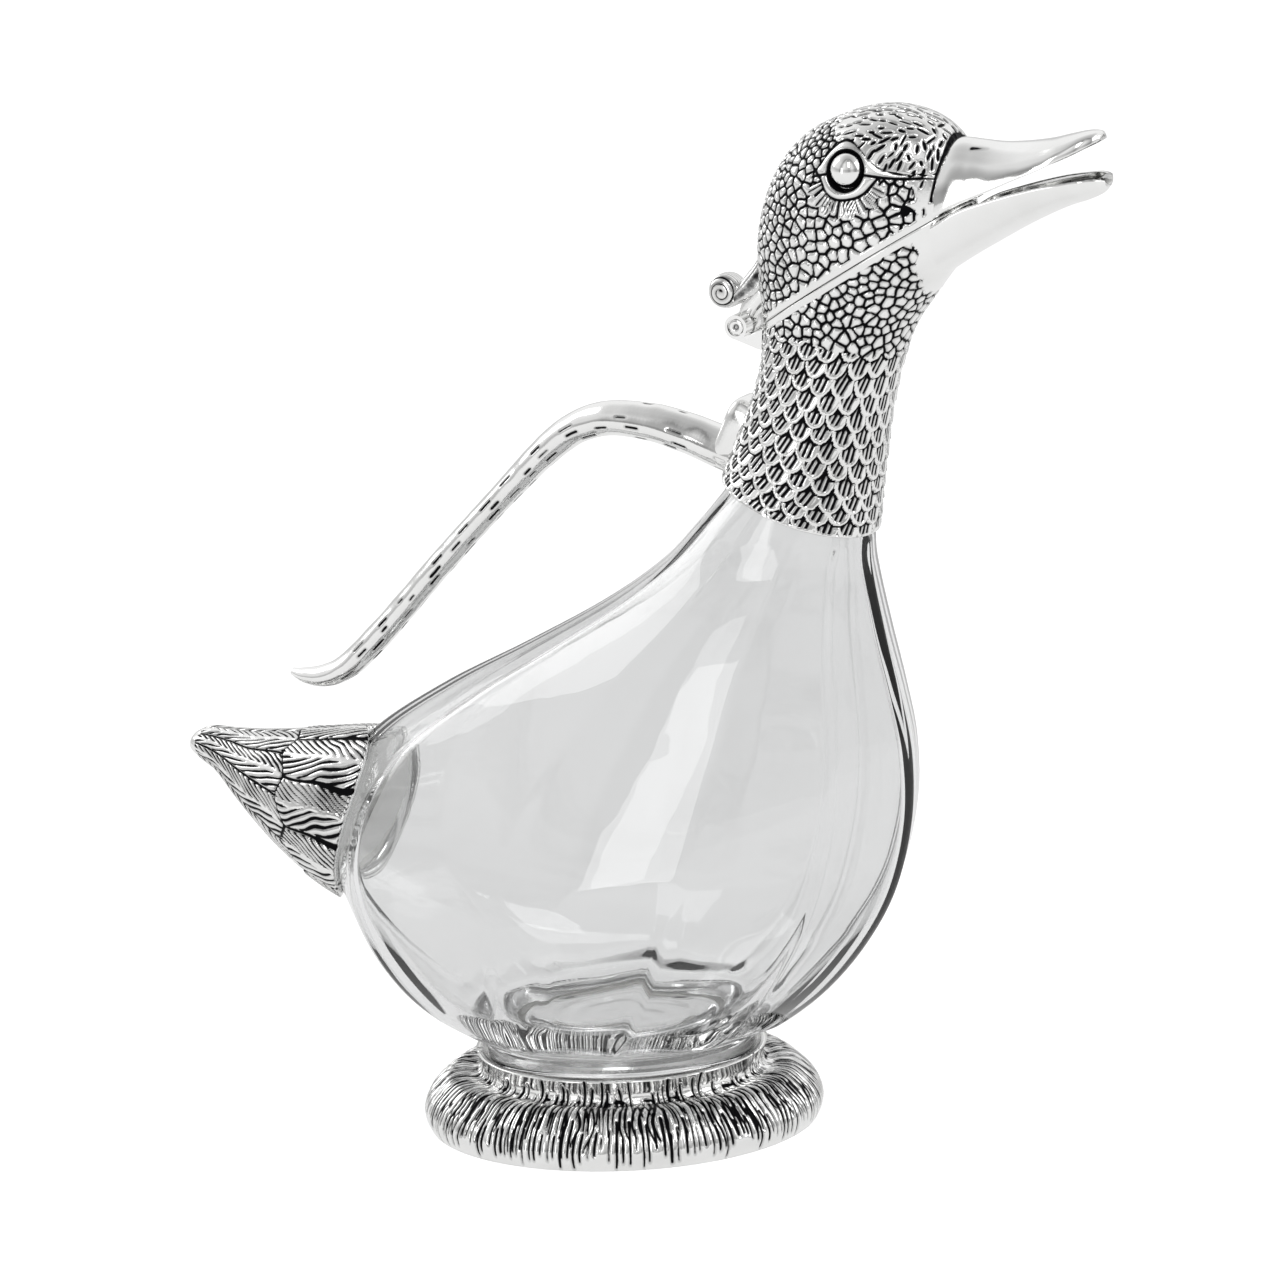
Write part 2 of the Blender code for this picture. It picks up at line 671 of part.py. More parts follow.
def neck_bedding():
    """The cement between glass and collar, and the seal on the glass's rim."""
    angles = ring_angles(BUST_SEGMENTS)
    stations = np.linspace(*CEMENT_SPAN, 4)
    socket_r = [np.interp(s, *zip(*SOCKET)) - GAP for s in stations]
    glass_r = [np.interp(s, *zip(*[row[:2] for row in GLASS_NECK])) + GAP for s in stations]
    rings = [neck_section(s, r, angles) for s, r in zip(stations, socket_r)]
    rings += [neck_section(s, r, angles) for s, r in reversed(list(zip(stations, glass_r)))]
    loft("collar_cement", rings, collection, plaster, joined=True)

    low, high = GLASS_NECK_END + GAP, GLASS_NECK_END + GAP + GASKET_T
    seal = [(low, 12.9), (low, 15.6), (high, 15.6), (high, 12.9)]
    loft("neck_gasket", [neck_section(s, r, angles) for s, r in seal], collection, rubber, joined=True)


# ---------------------------------------------------------------- build
for old in list(bpy.data.objects):
    bpy.data.objects.remove(old)
collection = bpy.data.collections.new("wine_decanter")
cutters = bpy.data.collections.new("cutters")
for made in (collection, cutters):
    bpy.context.scene.collection.children.link(made)
root = bpy.data.objects.new("decanter", None)
root.location = (FOOT_X * MM, 0, 0)
collection.objects.link(root)

silver = material("silver_plate", (0.86, 0.86, 0.85), 0.18, 1.0)
clear_glass = material("clear_glass", (0.96, 0.97, 0.97), 0.02, 0.0, 1.0)
plaster = material("cement", (0.84, 0.83, 0.79), 0.8, 0.0)
rubber = material("gasket", (0.82, 0.82, 0.80), 0.5, 0.0)

bust_room = bust("bust_room", BUST_OUTER, cutters, grow=GAP)
glass_body()
collar_and_lid()
thumb_lever()
hinge_bracket()
hinge_pin()
handle()
tail_mount()
foot()
neck_bedding()

lid_hinge = bpy.data.objects.new("lid_hinge", None)
lid_hinge.parent = root
lid_hinge.location = (HINGE[0] * MM, 0, HINGE[1] * MM)
collection.objects.link(lid_hinge)
for name in ("head_lid", "thumb_lever", "eye_left", "eye_right"):
    piece = bpy.data.objects[name]
    piece.parent = lid_hinge
    piece.location = -lid_hinge.location
bpy.context.view_layer.update()
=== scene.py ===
import math

import bmesh
import bpy
import numpy as np
from mathutils import Matrix, Vector
from mathutils.bvhtree import BVHTree


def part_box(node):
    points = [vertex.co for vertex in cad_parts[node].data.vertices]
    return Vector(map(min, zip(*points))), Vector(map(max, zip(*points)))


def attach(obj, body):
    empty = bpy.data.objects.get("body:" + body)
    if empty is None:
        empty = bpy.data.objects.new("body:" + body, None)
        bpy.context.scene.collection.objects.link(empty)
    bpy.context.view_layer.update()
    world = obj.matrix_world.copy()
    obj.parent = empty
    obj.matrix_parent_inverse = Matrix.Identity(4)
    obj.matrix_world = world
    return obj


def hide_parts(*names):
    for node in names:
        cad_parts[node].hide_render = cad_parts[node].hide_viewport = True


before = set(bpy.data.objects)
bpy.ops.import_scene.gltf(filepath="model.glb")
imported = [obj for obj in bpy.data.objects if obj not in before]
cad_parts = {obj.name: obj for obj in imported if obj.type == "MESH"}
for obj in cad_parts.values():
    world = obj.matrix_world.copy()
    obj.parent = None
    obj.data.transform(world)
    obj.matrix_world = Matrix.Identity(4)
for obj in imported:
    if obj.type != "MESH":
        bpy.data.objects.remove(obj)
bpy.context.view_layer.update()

scene = bpy.context.scene

# Lengths are in millimetres from the centre of the foot on the table, as in part.py:
# X towards the bill, Z up.
MM = 0.001
foot_low, foot_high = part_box("foot_ring")
FOOT_X = (foot_low.x + foot_high.x) / 2 / MM

# ---------------------------------------------------------------- shapes that part.py also has
# A row of GLASS_ROWS, BUST_OUTER and TAIL_OUTER is one section: the back point's x and z, the
# front point's x and z, the half width, where it is widest, and how much its back narrows.
# A row of a bill is x, the z of its edge, the z of its ridge and its half width.
PARTING_POINT = (82.3, 241.1)
PARTING_SLOPE = 0.6
PARTING_GAP = 0.2
HINGE = (47.4, 224.0)
BARREL_R = 3.3
PIN_R = 1.5
PIN_BORE_R = 1.62
PIN_HEAD_R = 2.1
PIN_HEAD_OUT = 7.0
NECK_FOOT = (61.4, 176.6)
NECK_TILT = math.radians(17.5)
CREASES = (0, 32, 65, 102, 142, 180)
CREASE_DEPTH = 0.8
PANEL_ARC = math.radians(36)
GLASS_ROWS = (
    (-36.2, 14.5, 36.2, 14.5, 36.2, 0.5, 0.0),
    (-36.4, 20.0, 36.4, 20.0, 36.4, 0.5, 0.0),
    (-37.5, 25.5, 37.5, 25.5, 37.5, 0.5, 0.0),
    (-51.0, 30.5, 48.0, 30.0, 47.5, 0.53, 0.04),
    (-67.0, 40.0, 62.5, 41.0, 53.0, 0.55, 0.10),
    (-80.5, 53.5, 75.0, 55.0, 55.5, 0.56, 0.17),
    (-88.0, 69.0, 84.5, 71.0, 54.5, 0.57, 0.24),
    (-85.5, 86.0, 90.0, 90.0, 51.5, 0.58, 0.30),
    (-73.0, 102.5, 91.0, 108.0, 46.5, 0.58, 0.33),
    (-49.5, 118.0, 88.5, 124.0, 40.5, 0.57, 0.30),
    (-22.5, 132.0, 85.0, 139.0, 35.0, 0.55, 0.22),
    (2.0, 145.5, 82.5, 151.0, 29.0, 0.53, 0.12),
    (20.0, 158.0, 81.0, 160.5, 24.0, 0.51, 0.04),
    (32.5, 170.5, 80.8, 166.5, 20.6, 0.5, 0.0),
)
FLOOR_ROW = (-29.0, 23.5, 29.0, 23.5, 29.0, 0.5, 0.0)
FIRST_INNER = 3
# the glass is this thick at each row from FIRST_INNER on
INSETS = (9.5, 6.5, 4.5, 3.5, 3.5, 4.0, 4.5, 4.5, 4.0, 4.0, 3.5)
# distance along the neck, outer radius, bore
GLASS_NECK = (
    (0.0, 19.2, 15.6), (4.0, 17.6, 13.9), (8.0, 16.1, 12.6), (12.0, 15.3, 12.0),
    (19.0, 15.0, 11.9), (25.0, 15.0, 11.9),
)
BUST_OUTER = (
    (40.9, 184.5, 81.9, 168.8, 21.9, 0.5, 0.0),
    (43.7, 191.0, 83.4, 178.3, 20.7, 0.5, 0.0),
    (47.7, 199.8, 85.3, 189.5, 19.4, 0.5, 0.0),
    (51.4, 208.8, 87.6, 201.5, 18.5, 0.5, 0.0),
    (53.6, 217.5, 91.0, 214.0, 18.1, 0.5, 0.0),
    (54.2, 226.2, 96.2, 226.0, 18.3, 0.5, 0.0),
    (53.2, 236.5, 104.6, 237.2, 19.2, 0.52, 0.0),
    (53.2, 247.5, 112.2, 247.5, 20.6, 0.52, 0.0),
    (55.8, 258.4, 114.4, 257.5, 21.2, 0.51, 0.0),
    (61.0, 268.8, 114.4, 267.2, 20.3, 0.5, 0.0),
    (68.8, 276.9, 112.4, 275.6, 17.2, 0.5, 0.0),
    (79.4, 282.2, 106.2, 281.4, 11.4, 0.5, 0.0),
    (88.0, 284.6, 98.0, 284.4, 4.6, 0.5, 0.0),
    (92.9, 284.9, 93.1, 284.9, 0.1, 0.5, 0.0),
)
COLLAR_WALL = 1.6
HEAD_WALL = 1.8
UPPER_BILL = (
    (103.0, 254.0, 274.0, 12.4), (109.0, 257.6, 276.4, 12.4), (113.0, 260.0, 277.2, 12.3),
    (118.0, 262.4, 276.9, 11.8), (124.0, 265.0, 276.6, 11.2), (131.0, 268.2, 277.1, 10.7),
    (138.0, 271.2, 278.2, 10.4), (143.5, 273.9, 279.6, 9.7), (148.3, 276.2, 280.7, 8.0),
    (151.6, 277.9, 280.9, 5.0), (153.0, 278.7, 280.3, 2.2),
)
LOWER_BILL = (
    (98.0, 249.3, 234.5, 12.6), (104.0, 252.9, 238.6, 12.8), (111.0, 257.1, 243.2, 12.7),
    (116.5, 260.2, 246.6, 12.2), (124.0, 262.8, 250.9, 11.4), (131.0, 264.9, 254.8, 10.8),
    (138.0, 266.7, 258.3, 10.3), (144.0, 267.8, 260.9, 9.6), (149.0, 268.6, 262.6, 8.2),
    (152.6, 268.7, 264.3, 5.6), (154.4, 268.2, 266.2, 2.6),
)
BILL_WALL = 1.7
TAIL_BEDDING = 1.2
TAIL_OUTER = (
    (-60.0, 103.6, -77.6, 53.6, 21.4, 0.5, 0.0),
    (-76.0, 102.8, -87.4, 58.8, 20.9, 0.5, 0.0),
    (-88.0, 101.4, -97.0, 65.4, 19.0, 0.5, 0.0),
    (-98.0, 100.4, -105.6, 72.7, 15.8, 0.5, 0.0),
    (-108.0, 99.5, -113.6, 80.4, 11.9, 0.5, 0.0),
    (-117.5, 99.2, -120.6, 87.6, 8.1, 0.5, 0.0),
    (-124.0, 99.4, -126.2, 90.6, 6.2, 0.5, 0.0),
    (-128.0, 98.4, -129.4, 92.6, 4.4, 0.5, 0.0),
    (-129.9, 96.6, -130.3, 95.0, 1.6, 0.5, 0.0),
)
FOOT_OUTSIDE = (
    (37.9, 20.9), (39.6, 20.9), (39.0, 19.2), (38.5, 17.2), (38.9, 15.4), (40.6, 14.5),
    (43.5, 14.9), (47.0, 14.3), (50.3, 11.7), (53.0, 8.6), (54.3, 5.2), (54.0, 2.4),
    (52.9, 0.0),
)
FOOT_INSIDE = (
    (50.6, 0.0), (50.8, 5.0), (48.4, 9.0), (44.0, 10.9), (32.0, 10.9), (32.0, 12.6),
    (37.9, 12.6),
)
# x, z, half thickness
HANDLE = (
    (47.0, 187.5, 6.6), (38.0, 189.6, 5.7), (29.0, 192.4, 5.4), (18.0, 194.8, 5.0),
    (6.0, 195.3, 4.7), (-2.5, 193.3, 4.5), (-9.3, 189.6, 4.2), (-16.7, 183.6, 3.9),
    (-25.2, 175.4, 3.6), (-34.7, 166.0, 3.4), (-44.3, 156.3, 3.4), (-53.9, 146.2, 3.4),
    (-63.6, 135.8, 3.5), (-73.3, 126.0, 3.6), (-80.5, 119.9, 3.4), (-87.0, 117.0, 3.0),
    (-93.0, 116.6, 2.3), (-97.4, 117.4, 1.1),
)
HANDLE_WIDTH = 1.2
PAD_CENTRE = (45.0, 193.6)
PAD_SIZE = (10.4, 15.0, 21.0)
PAD_TILT = math.radians(24)
EYE_CENTRE = (87.8, 17.7, 270.5)
EYE_R = 4.75
SCROLL = (41.9, 232.4)
SCROLL_R = 4.7
SCROLL_HALF = 4.2

# ---------------------------------------------------------------- measures of the relief
FULL = 2.0  # a groove distance that leaves the silver bright
RELIEF_SINK = 0.12  # how far the relief is let into the CAD's surface
BAND = 1.9  # plain rim along the parting
PEBBLE_LINE = 0.3
PEBBLE_HEIGHT = 0.34
WOBBLE = 0.22  # how far the borders of the pebbles stray
FEATHERS_ROUND = 20
FEATHER_ROW = 10.6  # millimetres of neck for each row of BUST_OUTER
FEATHER_WIDTH = 5.6
FEATHER_PITCH = 4.2
FEATHER_REACH = 5.2
FEATHER_RIBS = 3
RIB_LINE = 0.33
OVERLAP_LINE = 0.55
CROWN_Z = 269.8  # lowest part of the brushed crown
EYE_RING = 5.0
EYE_SOCKET = 5.6
EYE_RECESS = 2.1
FAN = (7.4, 12.0)  # the rays under the eye start and end at these distances from its centre
FAN_RAYS = 8.3  # rays to a radian
BILL_START = 1  # the first row of a bill that its skin shows
NOSTRIL = ((117.9, 275.5), (122.3, 276.2))
NOSTRIL_SIDE = 5.6
TAIL_FEATHERS = 9
TAIL_TIER = 36.5  # distance from the tip to the border between the two tiers
BARB_PITCH = 1.85
TAIL_WALL = 1.8
FOOT_WAIST = 6.2  # distance along the foot's outline from its top to the waist
NICK_ROWS = (40, 75, 110, 250, 285, 320, 0, 180)  # degrees round the handle

# ---------------------------------------------------------------- camera and studio
FOCAL_LENGTH = 271.6
CAMERA_DISTANCE = 2.6
# (name, place in metres, size, watts)
LAMPS = (
    ("key", (0.66, -1.0, 1.42), (0.34, 0.95), 4.2),
    ("tall", (-0.36, -1.5, 0.42), (0.3, 0.8), 1.9),
    ("right", (1.5, 0.25, 1.0), (0.7, 1.2), 5),
    ("left", (-1.5, 0.1, 1.1), (0.7, 1.2), 5),
)
# brightness of the room from the ground (0) to overhead (1), and round the horizon
ROOM_BY_HEIGHT = ((0.0, 1.0), (0.49, 0.8), (0.56, 0.62), (0.66, 1.0), (0.86, 1.0), (1.0, 0.5))
ROOM_AROUND = (
    (0.0, 1.0), (0.13, 0.8), (0.18, 0.42), (0.235, 0.95), (0.30, 0.7), (0.335, 0.5),
    (0.39, 0.9), (0.455, 0.42), (0.51, 0.85), (0.6, 1.0),
)


def camera():
    azimuth, elevation, roll = math.radians(28), math.radians(13.68), math.radians(-2.47)
    flat = math.cos(elevation)
    back = Vector((math.sin(azimuth) * flat, -math.cos(azimuth) * flat, math.sin(elevation)))
    level = Vector((math.cos(azimuth), math.sin(azimuth), 0))
    above = back.cross(level)
    right = level * math.cos(roll) + above * math.sin(roll)
    up = above * math.cos(roll) - level * math.sin(roll)
    target = Vector((FOOT_X + 10.97, 0, 134.36)) * MM
    data = bpy.data.cameras.new("camera")
    data.lens = FOCAL_LENGTH
    data.sensor_width = 36
    made = bpy.data.objects.new("camera", data)
    scene.collection.objects.link(made)
    turn = Matrix((right, up, back)).transposed().to_4x4()
    made.matrix_world = Matrix.Translation(target + back * CAMERA_DISTANCE) @ turn
    scene.camera = made


def feed(tree, node, **values):
    """Sets inputs of a node, or links them to outputs. Underscores stand for spaces."""
    for name, value in values.items():
        socket = node.inputs[name.replace("_", " ")]
        if isinstance(value, bpy.types.NodeSocket):
            tree.links.new(value, socket)
        else:
            socket.default_value = value


def output(tree, kind, name, settings=None, **values):
    """Adds a shader node and gives back one of its outputs."""
    node = tree.nodes.new("ShaderNode" + kind)
    for key, value in (settings or {}).items():
        setattr(node, key, value)
    feed(tree, node, **values)
    return node.outputs[name]


def multiply_add(tree, value, factor, plus):
    node = tree.nodes.new("ShaderNodeMath")
    node.operation = "MULTIPLY_ADD"
    tree.links.new(value, node.inputs[0])
    node.inputs[1].default_value = factor
    if isinstance(plus, bpy.types.NodeSocket):
        tree.links.new(plus, node.inputs[2])
    else:
        node.inputs[2].default_value = plus
    return node.outputs[0]


def blend(tree, factor, a, b, **settings):
    settings.setdefault("data_type", "RGBA")
    return output(tree, "Mix", "Result", settings, Factor=factor, A=a, B=b)


def remap(tree, value, start, end, **settings):
    """Maps a value from one span to another."""
    spans = {"From_Min": start[0], "From_Max": start[1], "To_Min": end[0], "To_Max": end[1]}
    return output(tree, "MapRange", "Result", settings, Value=value, **spans)


def ramp(tree, value, stops, interpolation="LINEAR"):
    node = tree.nodes.new("ShaderNodeValToRGB")
    node.color_ramp.interpolation = interpolation
    elements = node.color_ramp.elements
    while len(elements) < len(stops):
        elements.new(0.5)
    for element, (place, grey) in zip(elements, stops):
        element.position = place
        element.color = (grey, grey, grey, 1)
    tree.links.new(value, node.inputs["Fac"])
    return node.outputs["Color"]


def studio():
    """White room with a few dark zones for the metal to mirror, soft lamps, a white floor."""
    scene.view_settings.view_transform = "Standard"
    scene.cycles.use_denoising = True
    world = bpy.data.worlds.new("studio")
    scene.world = world
    world.use_nodes = True
    tree = world.node_tree
    tree.nodes.clear()
    place = output(tree, "TexCoord", "Generated")
    up = output(tree, "SeparateXYZ", "Z", Vector=place)
    turn = output(tree, "TexGradient", "Fac", {"gradient_type": "RADIAL"}, Vector=place)
    by_height = ramp(tree, multiply_add(tree, up, 0.5, 0.5), ROOM_BY_HEIGHT)
    around = ramp(tree, turn, ROOM_AROUND, "EASE")
    product = blend(tree, 1, by_height, around, blend_type="MULTIPLY")
    room = output(tree, "Background", "Background", Color=product, Strength=0.95)
    seen = output(tree, "Background", "Background", Color=(1, 1, 1, 1), Strength=1.05)
    mix = tree.nodes.new("ShaderNodeMixShader")
    tree.links.new(output(tree, "LightPath", "Is Camera Ray"), mix.inputs["Fac"])
    tree.links.new(room, mix.inputs[1])
    tree.links.new(seen, mix.inputs[2])
    output_node = tree.nodes.new("ShaderNodeOutputWorld")
    tree.links.new(mix.outputs[0], output_node.inputs["Surface"])

    for name, place_m, size, watts in LAMPS:
        data = bpy.data.lights.new(name, "AREA")
        data.shape = "RECTANGLE"
        data.size, data.size_y = size
        data.energy = watts
        lamp = bpy.data.objects.new(name, data)
        scene.collection.objects.link(lamp)
        lamp.location = place_m
        aim = Vector((0, 0, 0.14)) - Vector(place_m)
        lamp.rotation_euler = aim.to_track_quat("-Z", "Y").to_euler()

    work = bmesh.new()
    bmesh.ops.create_grid(work, x_segments=1, y_segments=1, size=3)
    floor = piece_from_bmesh("floor", work)
    white, tree, shader = blank_material("floor_white")
    feed(tree, shader, Base_Color=(0.32, 0.32, 0.32, 1), Roughness=0.9)
    # white to the camera, dimmer where the metal and the glass mirror it
    lift = multiply_add(tree, output(tree, "LightPath", "Is Camera Ray"), 0.3, 0.56)
    feed(tree, shader, Emission_Color=(1, 1, 1, 1), Emission_Strength=lift)
    floor.data.materials.append(white)


# ---------------------------------------------------------------- materials
def blank_material(name):
    made = bpy.data.materials.new(name)
    made.use_nodes = True
    return made, made.node_tree, made.node_tree.nodes["Principled BSDF"]


def noise(tree, scale, detail, roughness=0.5):
    place = output(tree, "TexCoord", "Object")
    values = {"Scale": scale, "Detail": detail, "Roughness": roughness, "Vector": place}
    return output(tree, "TexNoise", "Fac", **values)


def silver(name, grooved, shine=0.13, bump=0.12, darkest_oxide_and_shade=0.5):
    """Silver plate, with black oxide where the piece's own `groove` distance is small, and round it
    a grey film that is partly oxide and partly painted shade.
    """
    made, tree, shader = blank_material(name)
    cloud = noise(tree, 55, 4)
    dimmed = remap(tree, cloud, (0.35, 0.7), (0, 1))
    metal = blend(tree, dimmed, (0.93, 0.93, 0.925, 1), (0.86, 0.86, 0.85, 1))
    gloss = remap(tree, cloud, (0.3, 0.75), (shine * 0.75, shine * 1.35))
    grain = noise(tree, 900, 3, 0.6)
    relief = output(tree, "Bump", "Normal", Strength=bump, Distance=0.0002, Height=grain)
    feed(tree, shader, Metallic=1.0, Normal=relief)
    if not grooved:
        feed(tree, shader, Base_Color=metal, Roughness=gloss)
        return made

    depth = output(tree, "Attribute", "Fac", {"attribute_name": "groove"})
    wander = multiply_add(tree, noise(tree, 420, 3, 0.6), 0.3, depth)
    clear = remap(tree, wander, (0.10, 0.30), (0, 1), interpolation_type="SMOOTHSTEP")
    # the grey film near the grooves is partly oxide and partly painted shade
    oxide_and_shade_mix = remap(tree, wander, (0.15, 0.75), (darkest_oxide_and_shade, 1))
    oxide_and_shade_colour = blend(tree, oxide_and_shade_mix, (0.20, 0.20, 0.20, 1), metal)
    colour = blend(tree, clear, (0.006, 0.006, 0.007, 1), oxide_and_shade_colour)
    rough = blend(tree, clear, 0.55, gloss, data_type="FLOAT")
    feed(tree, shader, Base_Color=colour, Roughness=rough)
    return made


def clear_glass():
    made, tree, shader = blank_material("clear_glass")
    feed(tree, shader, Base_Color=(0.892, 0.895, 0.896, 1), Transmission_Weight=1, IOR=1.5)
    seed, smear = noise(tree, 38, 2), noise(tree, 12, 3)
    ripple = output(tree, "Bump", "Normal", Strength=0.12, Distance=0.0012, Height=seed)
    rough = remap(tree, smear, (0, 1), (0, 0.03))
    feed(tree, shader, Normal=ripple, Roughness=rough)
    return made


def grained(name, colour, dark, scale, roughness, glow=0.0):
    made, tree, shader = blank_material(name)
    grain = noise(tree, scale, 4, 0.65)
    mixed = blend(tree, grain, (*colour, 1), (*dark, 1))
    feed(tree, shader, Roughness=roughness, Emission_Color=(*colour, 1), Emission_Strength=glow)
    relief = output(tree, "Bump", "Normal", Strength=0.3, Distance=0.0002, Height=grain)
    feed(tree, shader, Base_Color=mixed, Normal=relief)
    return made


# ---------------------------------------------------------------- mesh tools
def piece_from_bmesh(name, work):
    mesh = bpy.data.meshes.new(name)
    work.to_mesh(mesh)
    work.free()
    made = bpy.data.objects.new(name, mesh)
    scene.collection.objects.link(made)
    return made


def skin(name, rings, groove=None, joined=False, capped=True):
    """A closed mesh over rings of points (rows, columns, 3), in millimetres."""
    rings = np.asarray(rings, float)
    rows, columns = rings.shape[:2]
    points = rings.reshape(-1, 3) + (FOOT_X, 0, 0)
    index = np.arange(rows * columns).reshape(rows, columns)
    low = index if joined else index[:-1]
    high = np.roll(index, -1, 0) if joined else index[1:]
    quads = np.stack([low, np.roll(low, -1, 1), np.roll(high, -1, 1), high], -1)
    quads = quads.reshape(-1, 4)
    faces = [quads.ravel()]
    sizes = [np.full(len(quads), 4)]
    if capped and not joined:
        faces += [index[0][::-1], index[-1]]
        sizes += [np.array([columns]), np.array([columns])]
    corners = np.concatenate(faces).astype(np.int32)
    sizes = np.concatenate(sizes)
    mesh = bpy.data.meshes.new(name)
    mesh.vertices.add(len(points))
    mesh.vertices.foreach_set("co", (points * MM).astype(np.float32).ravel())
    mesh.loops.add(len(corners))
    mesh.loops.foreach_set("vertex_index", corners)
    mesh.polygons.add(len(sizes))
    starts = np.concatenate([[0], np.cumsum(sizes)[:-1]])
    mesh.polygons.foreach_set("loop_start", starts.astype(np.int32))
    mesh.update(calc_edges=True)
    mesh.validate()
    if groove is not None:
        field = mesh.attributes.new("groove", "FLOAT", "POINT")
        kept = np.clip(groove, -1, FULL).astype(np.float32)
        field.data.foreach_set("value", kept.ravel())
    made = bpy.data.objects.new(name, mesh)
    scene.collection.objects.link(made)
    face_outwards(made)
    mesh.shade_smooth()
    return made


def face_outwards(made):
    """Turns the faces over when the closed mesh holds a negative volume."""
    work = bmesh.new()
    work.from_mesh(made.data)
    if work.calc_volume(signed=True) < 0:
        bmesh.ops.reverse_faces(work, faces=work.faces)
        work.to_mesh(made.data)
    work.free()


def finish_piece(made, look, body, slot, *nodes):
    made.data.materials.clear()
    made.data.materials.append(look)
    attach(made, body)
    if nodes:
        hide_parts(*nodes)
    return made


def along_rows(rows, u):
    """Rows read at fractional places on a Catmull-Rom curve."""
    rows = np.asarray(rows, float)
    padded = np.vstack([2 * rows[0] - rows[1], rows, 2 * rows[-1] - rows[-2]])
    i = np.clip(np.floor(u).astype(int), 0, len(rows) - 2)
    t = (u - i)[..., None]
    a, b, c, d = padded[i], padded[i + 1], padded[i + 2], padded[i + 3]
    square, cube = 2 * a - 5 * b + 4 * c - d, 3 * b - a - 3 * c + d
    return 0.5 * (2 * b + (c - a) * t + square * t**2 + cube * t**3)


def section_points(row, angle, grow=0.0, factor=1.0):
    """Points of sections (..., 7) at angles (radians), pushed out by grow."""
    back, front = row[..., 0:2], row[..., 2:4]
    length = np.maximum(np.linalg.norm(front - back, axis=-1), 1e-6)
    along = (front - back) / length[..., None]
    widest = row[..., 5]
    middle = back + along * (length * widest)[..., None]
    c, s = np.cos(angle), np.sin(angle)
    reach = np.where(c > 0, length * (1 - widest), length * widest) * factor
    flat = middle + along * (np.maximum(reach + grow, 0) * c)[..., None]
    side = np.maximum(row[..., 4] * factor + grow, 0) * s * (1 - row[..., 6] * np.maximum(0, -c))
    return np.stack([flat[..., 0], side, flat[..., 1]], -1)


def grid_normals(points):
    """Outward unit normals of a grid of points that closes round its columns."""
    down = np.gradient(points, axis=0)
    round_ = np.roll(points, -1, 1) - np.roll(points, 1, 1)
    normal = np.cross(round_, down)
    normal /= np.maximum(np.linalg.norm(normal, axis=-1), 1e-9)[..., None]
    centre = points.mean(1, keepdims=True)
    flip = np.sign((normal * (points - centre)).sum(-1).mean())
    return normal * flip


def all_bright(points):
    """Groove distances for a grid of points without any groove."""
    return np.full(points.shape[:2], FULL)


def directions(line):
    """Unit vectors along a line whose first two columns are x and z."""
    way = np.gradient(line[:, :2], axis=0)
    return way / np.linalg.norm(way, axis=1)[:, None]


def distance_along(points):
    steps = np.linalg.norm(np.diff(points, axis=0), axis=1)
    return np.concatenate([[0], np.cumsum(steps)])


def whole_turn(count):
    return np.linspace(0, 2 * np.pi, count, endpoint=False)


def ease(x, low, high):
    t = np.clip((x - low) / (high - low), 0, 1)
    return t * t * (3 - 2 * t)


def lattice_noise(points, size, seed):
    """Smooth value noise from -1 to 1 on a lattice with cells of this size."""
    table = np.random.default_rng(seed).uniform(-1, 1, 4096)
    place = points / size
    base = np.floor(place).astype(int)
    part = place - base
    part = part * part * (3 - 2 * part)
    primes = np.array([73856093, 19349663, 83492791])[: points.shape[-1]]
    total = 0
    for corner in np.ndindex(*(2,) * points.shape[-1]):
        step = np.array(corner)
        keys = ((base + step) * primes).sum(-1) % len(table)
        weight = np.prod(np.where(step == 1, part, 1 - part), axis=-1)
        total = total + table[keys] * weight
    return total


# ---------------------------------------------------------------- relief
def scatter(points, radius, count, seed):
    """Places among the points that keep their own radius from each other."""
    rng = np.random.default_rng(seed)
    order = rng.permutation(len(points))[: count * 14]
    chosen, picked = np.empty((0, 3)), []
    for i in order:
        if len(chosen) and (((chosen - points[i]) ** 2).sum(1) < radius[i] ** 2).any():
            continue
        chosen = np.vstack([chosen, points[i]])
        picked.append(i)
        if len(chosen) >= count:
            break
    return np.array(picked)


def cell_edges(points, seeds, chunk=3000):
    """Distance from each point to the border of its cell."""
    edge = np.empty(len(points))
    for start in range(0, len(points), chunk):
        part = points[start : start + chunk]
        squared = ((part[:, None, :] - seeds[None]) ** 2).sum(-1)
        near = np.argpartition(squared, 3, axis=1)[:, :4]
        close = np.take_along_axis(squared, near, 1)
        order = np.argsort(close, 1)
        near = np.take_along_axis(near, order, 1)
        close = np.take_along_axis(close, order, 1)
        first = seeds[near[:, 0]]
        best = np.full(len(part), 9.0)
        for k in (1, 2, 3):
            gap = np.maximum(np.linalg.norm(seeds[near[:, k]] - first, axis=1), 1e-6)
            best = np.minimum(best, (close[:, k] - close[:, 0]) / (2 * gap))
        edge[start : start + chunk] = best
    return edge


def stroke_distance(points, starts, ends, widths, chunk=3000):
    """Distance from each point to the nearest stroke's side; a stroke thins towards its ends."""
    run = ends - starts
    length = np.maximum((run**2).sum(1), 1e-9)
    out = np.empty(len(points))
    for first in range(0, len(points), chunk):
        part = points[first : first + chunk, None, :] - starts[None]
        t = np.clip((part * run).sum(-1) / length, 0, 1)
        away = np.linalg.norm(part - t[..., None] * run, axis=-1)
        out[first : first + chunk] = (away - widths * (1 - (2 * t - 1) ** 4 * 0.8)).min(1)
    return out


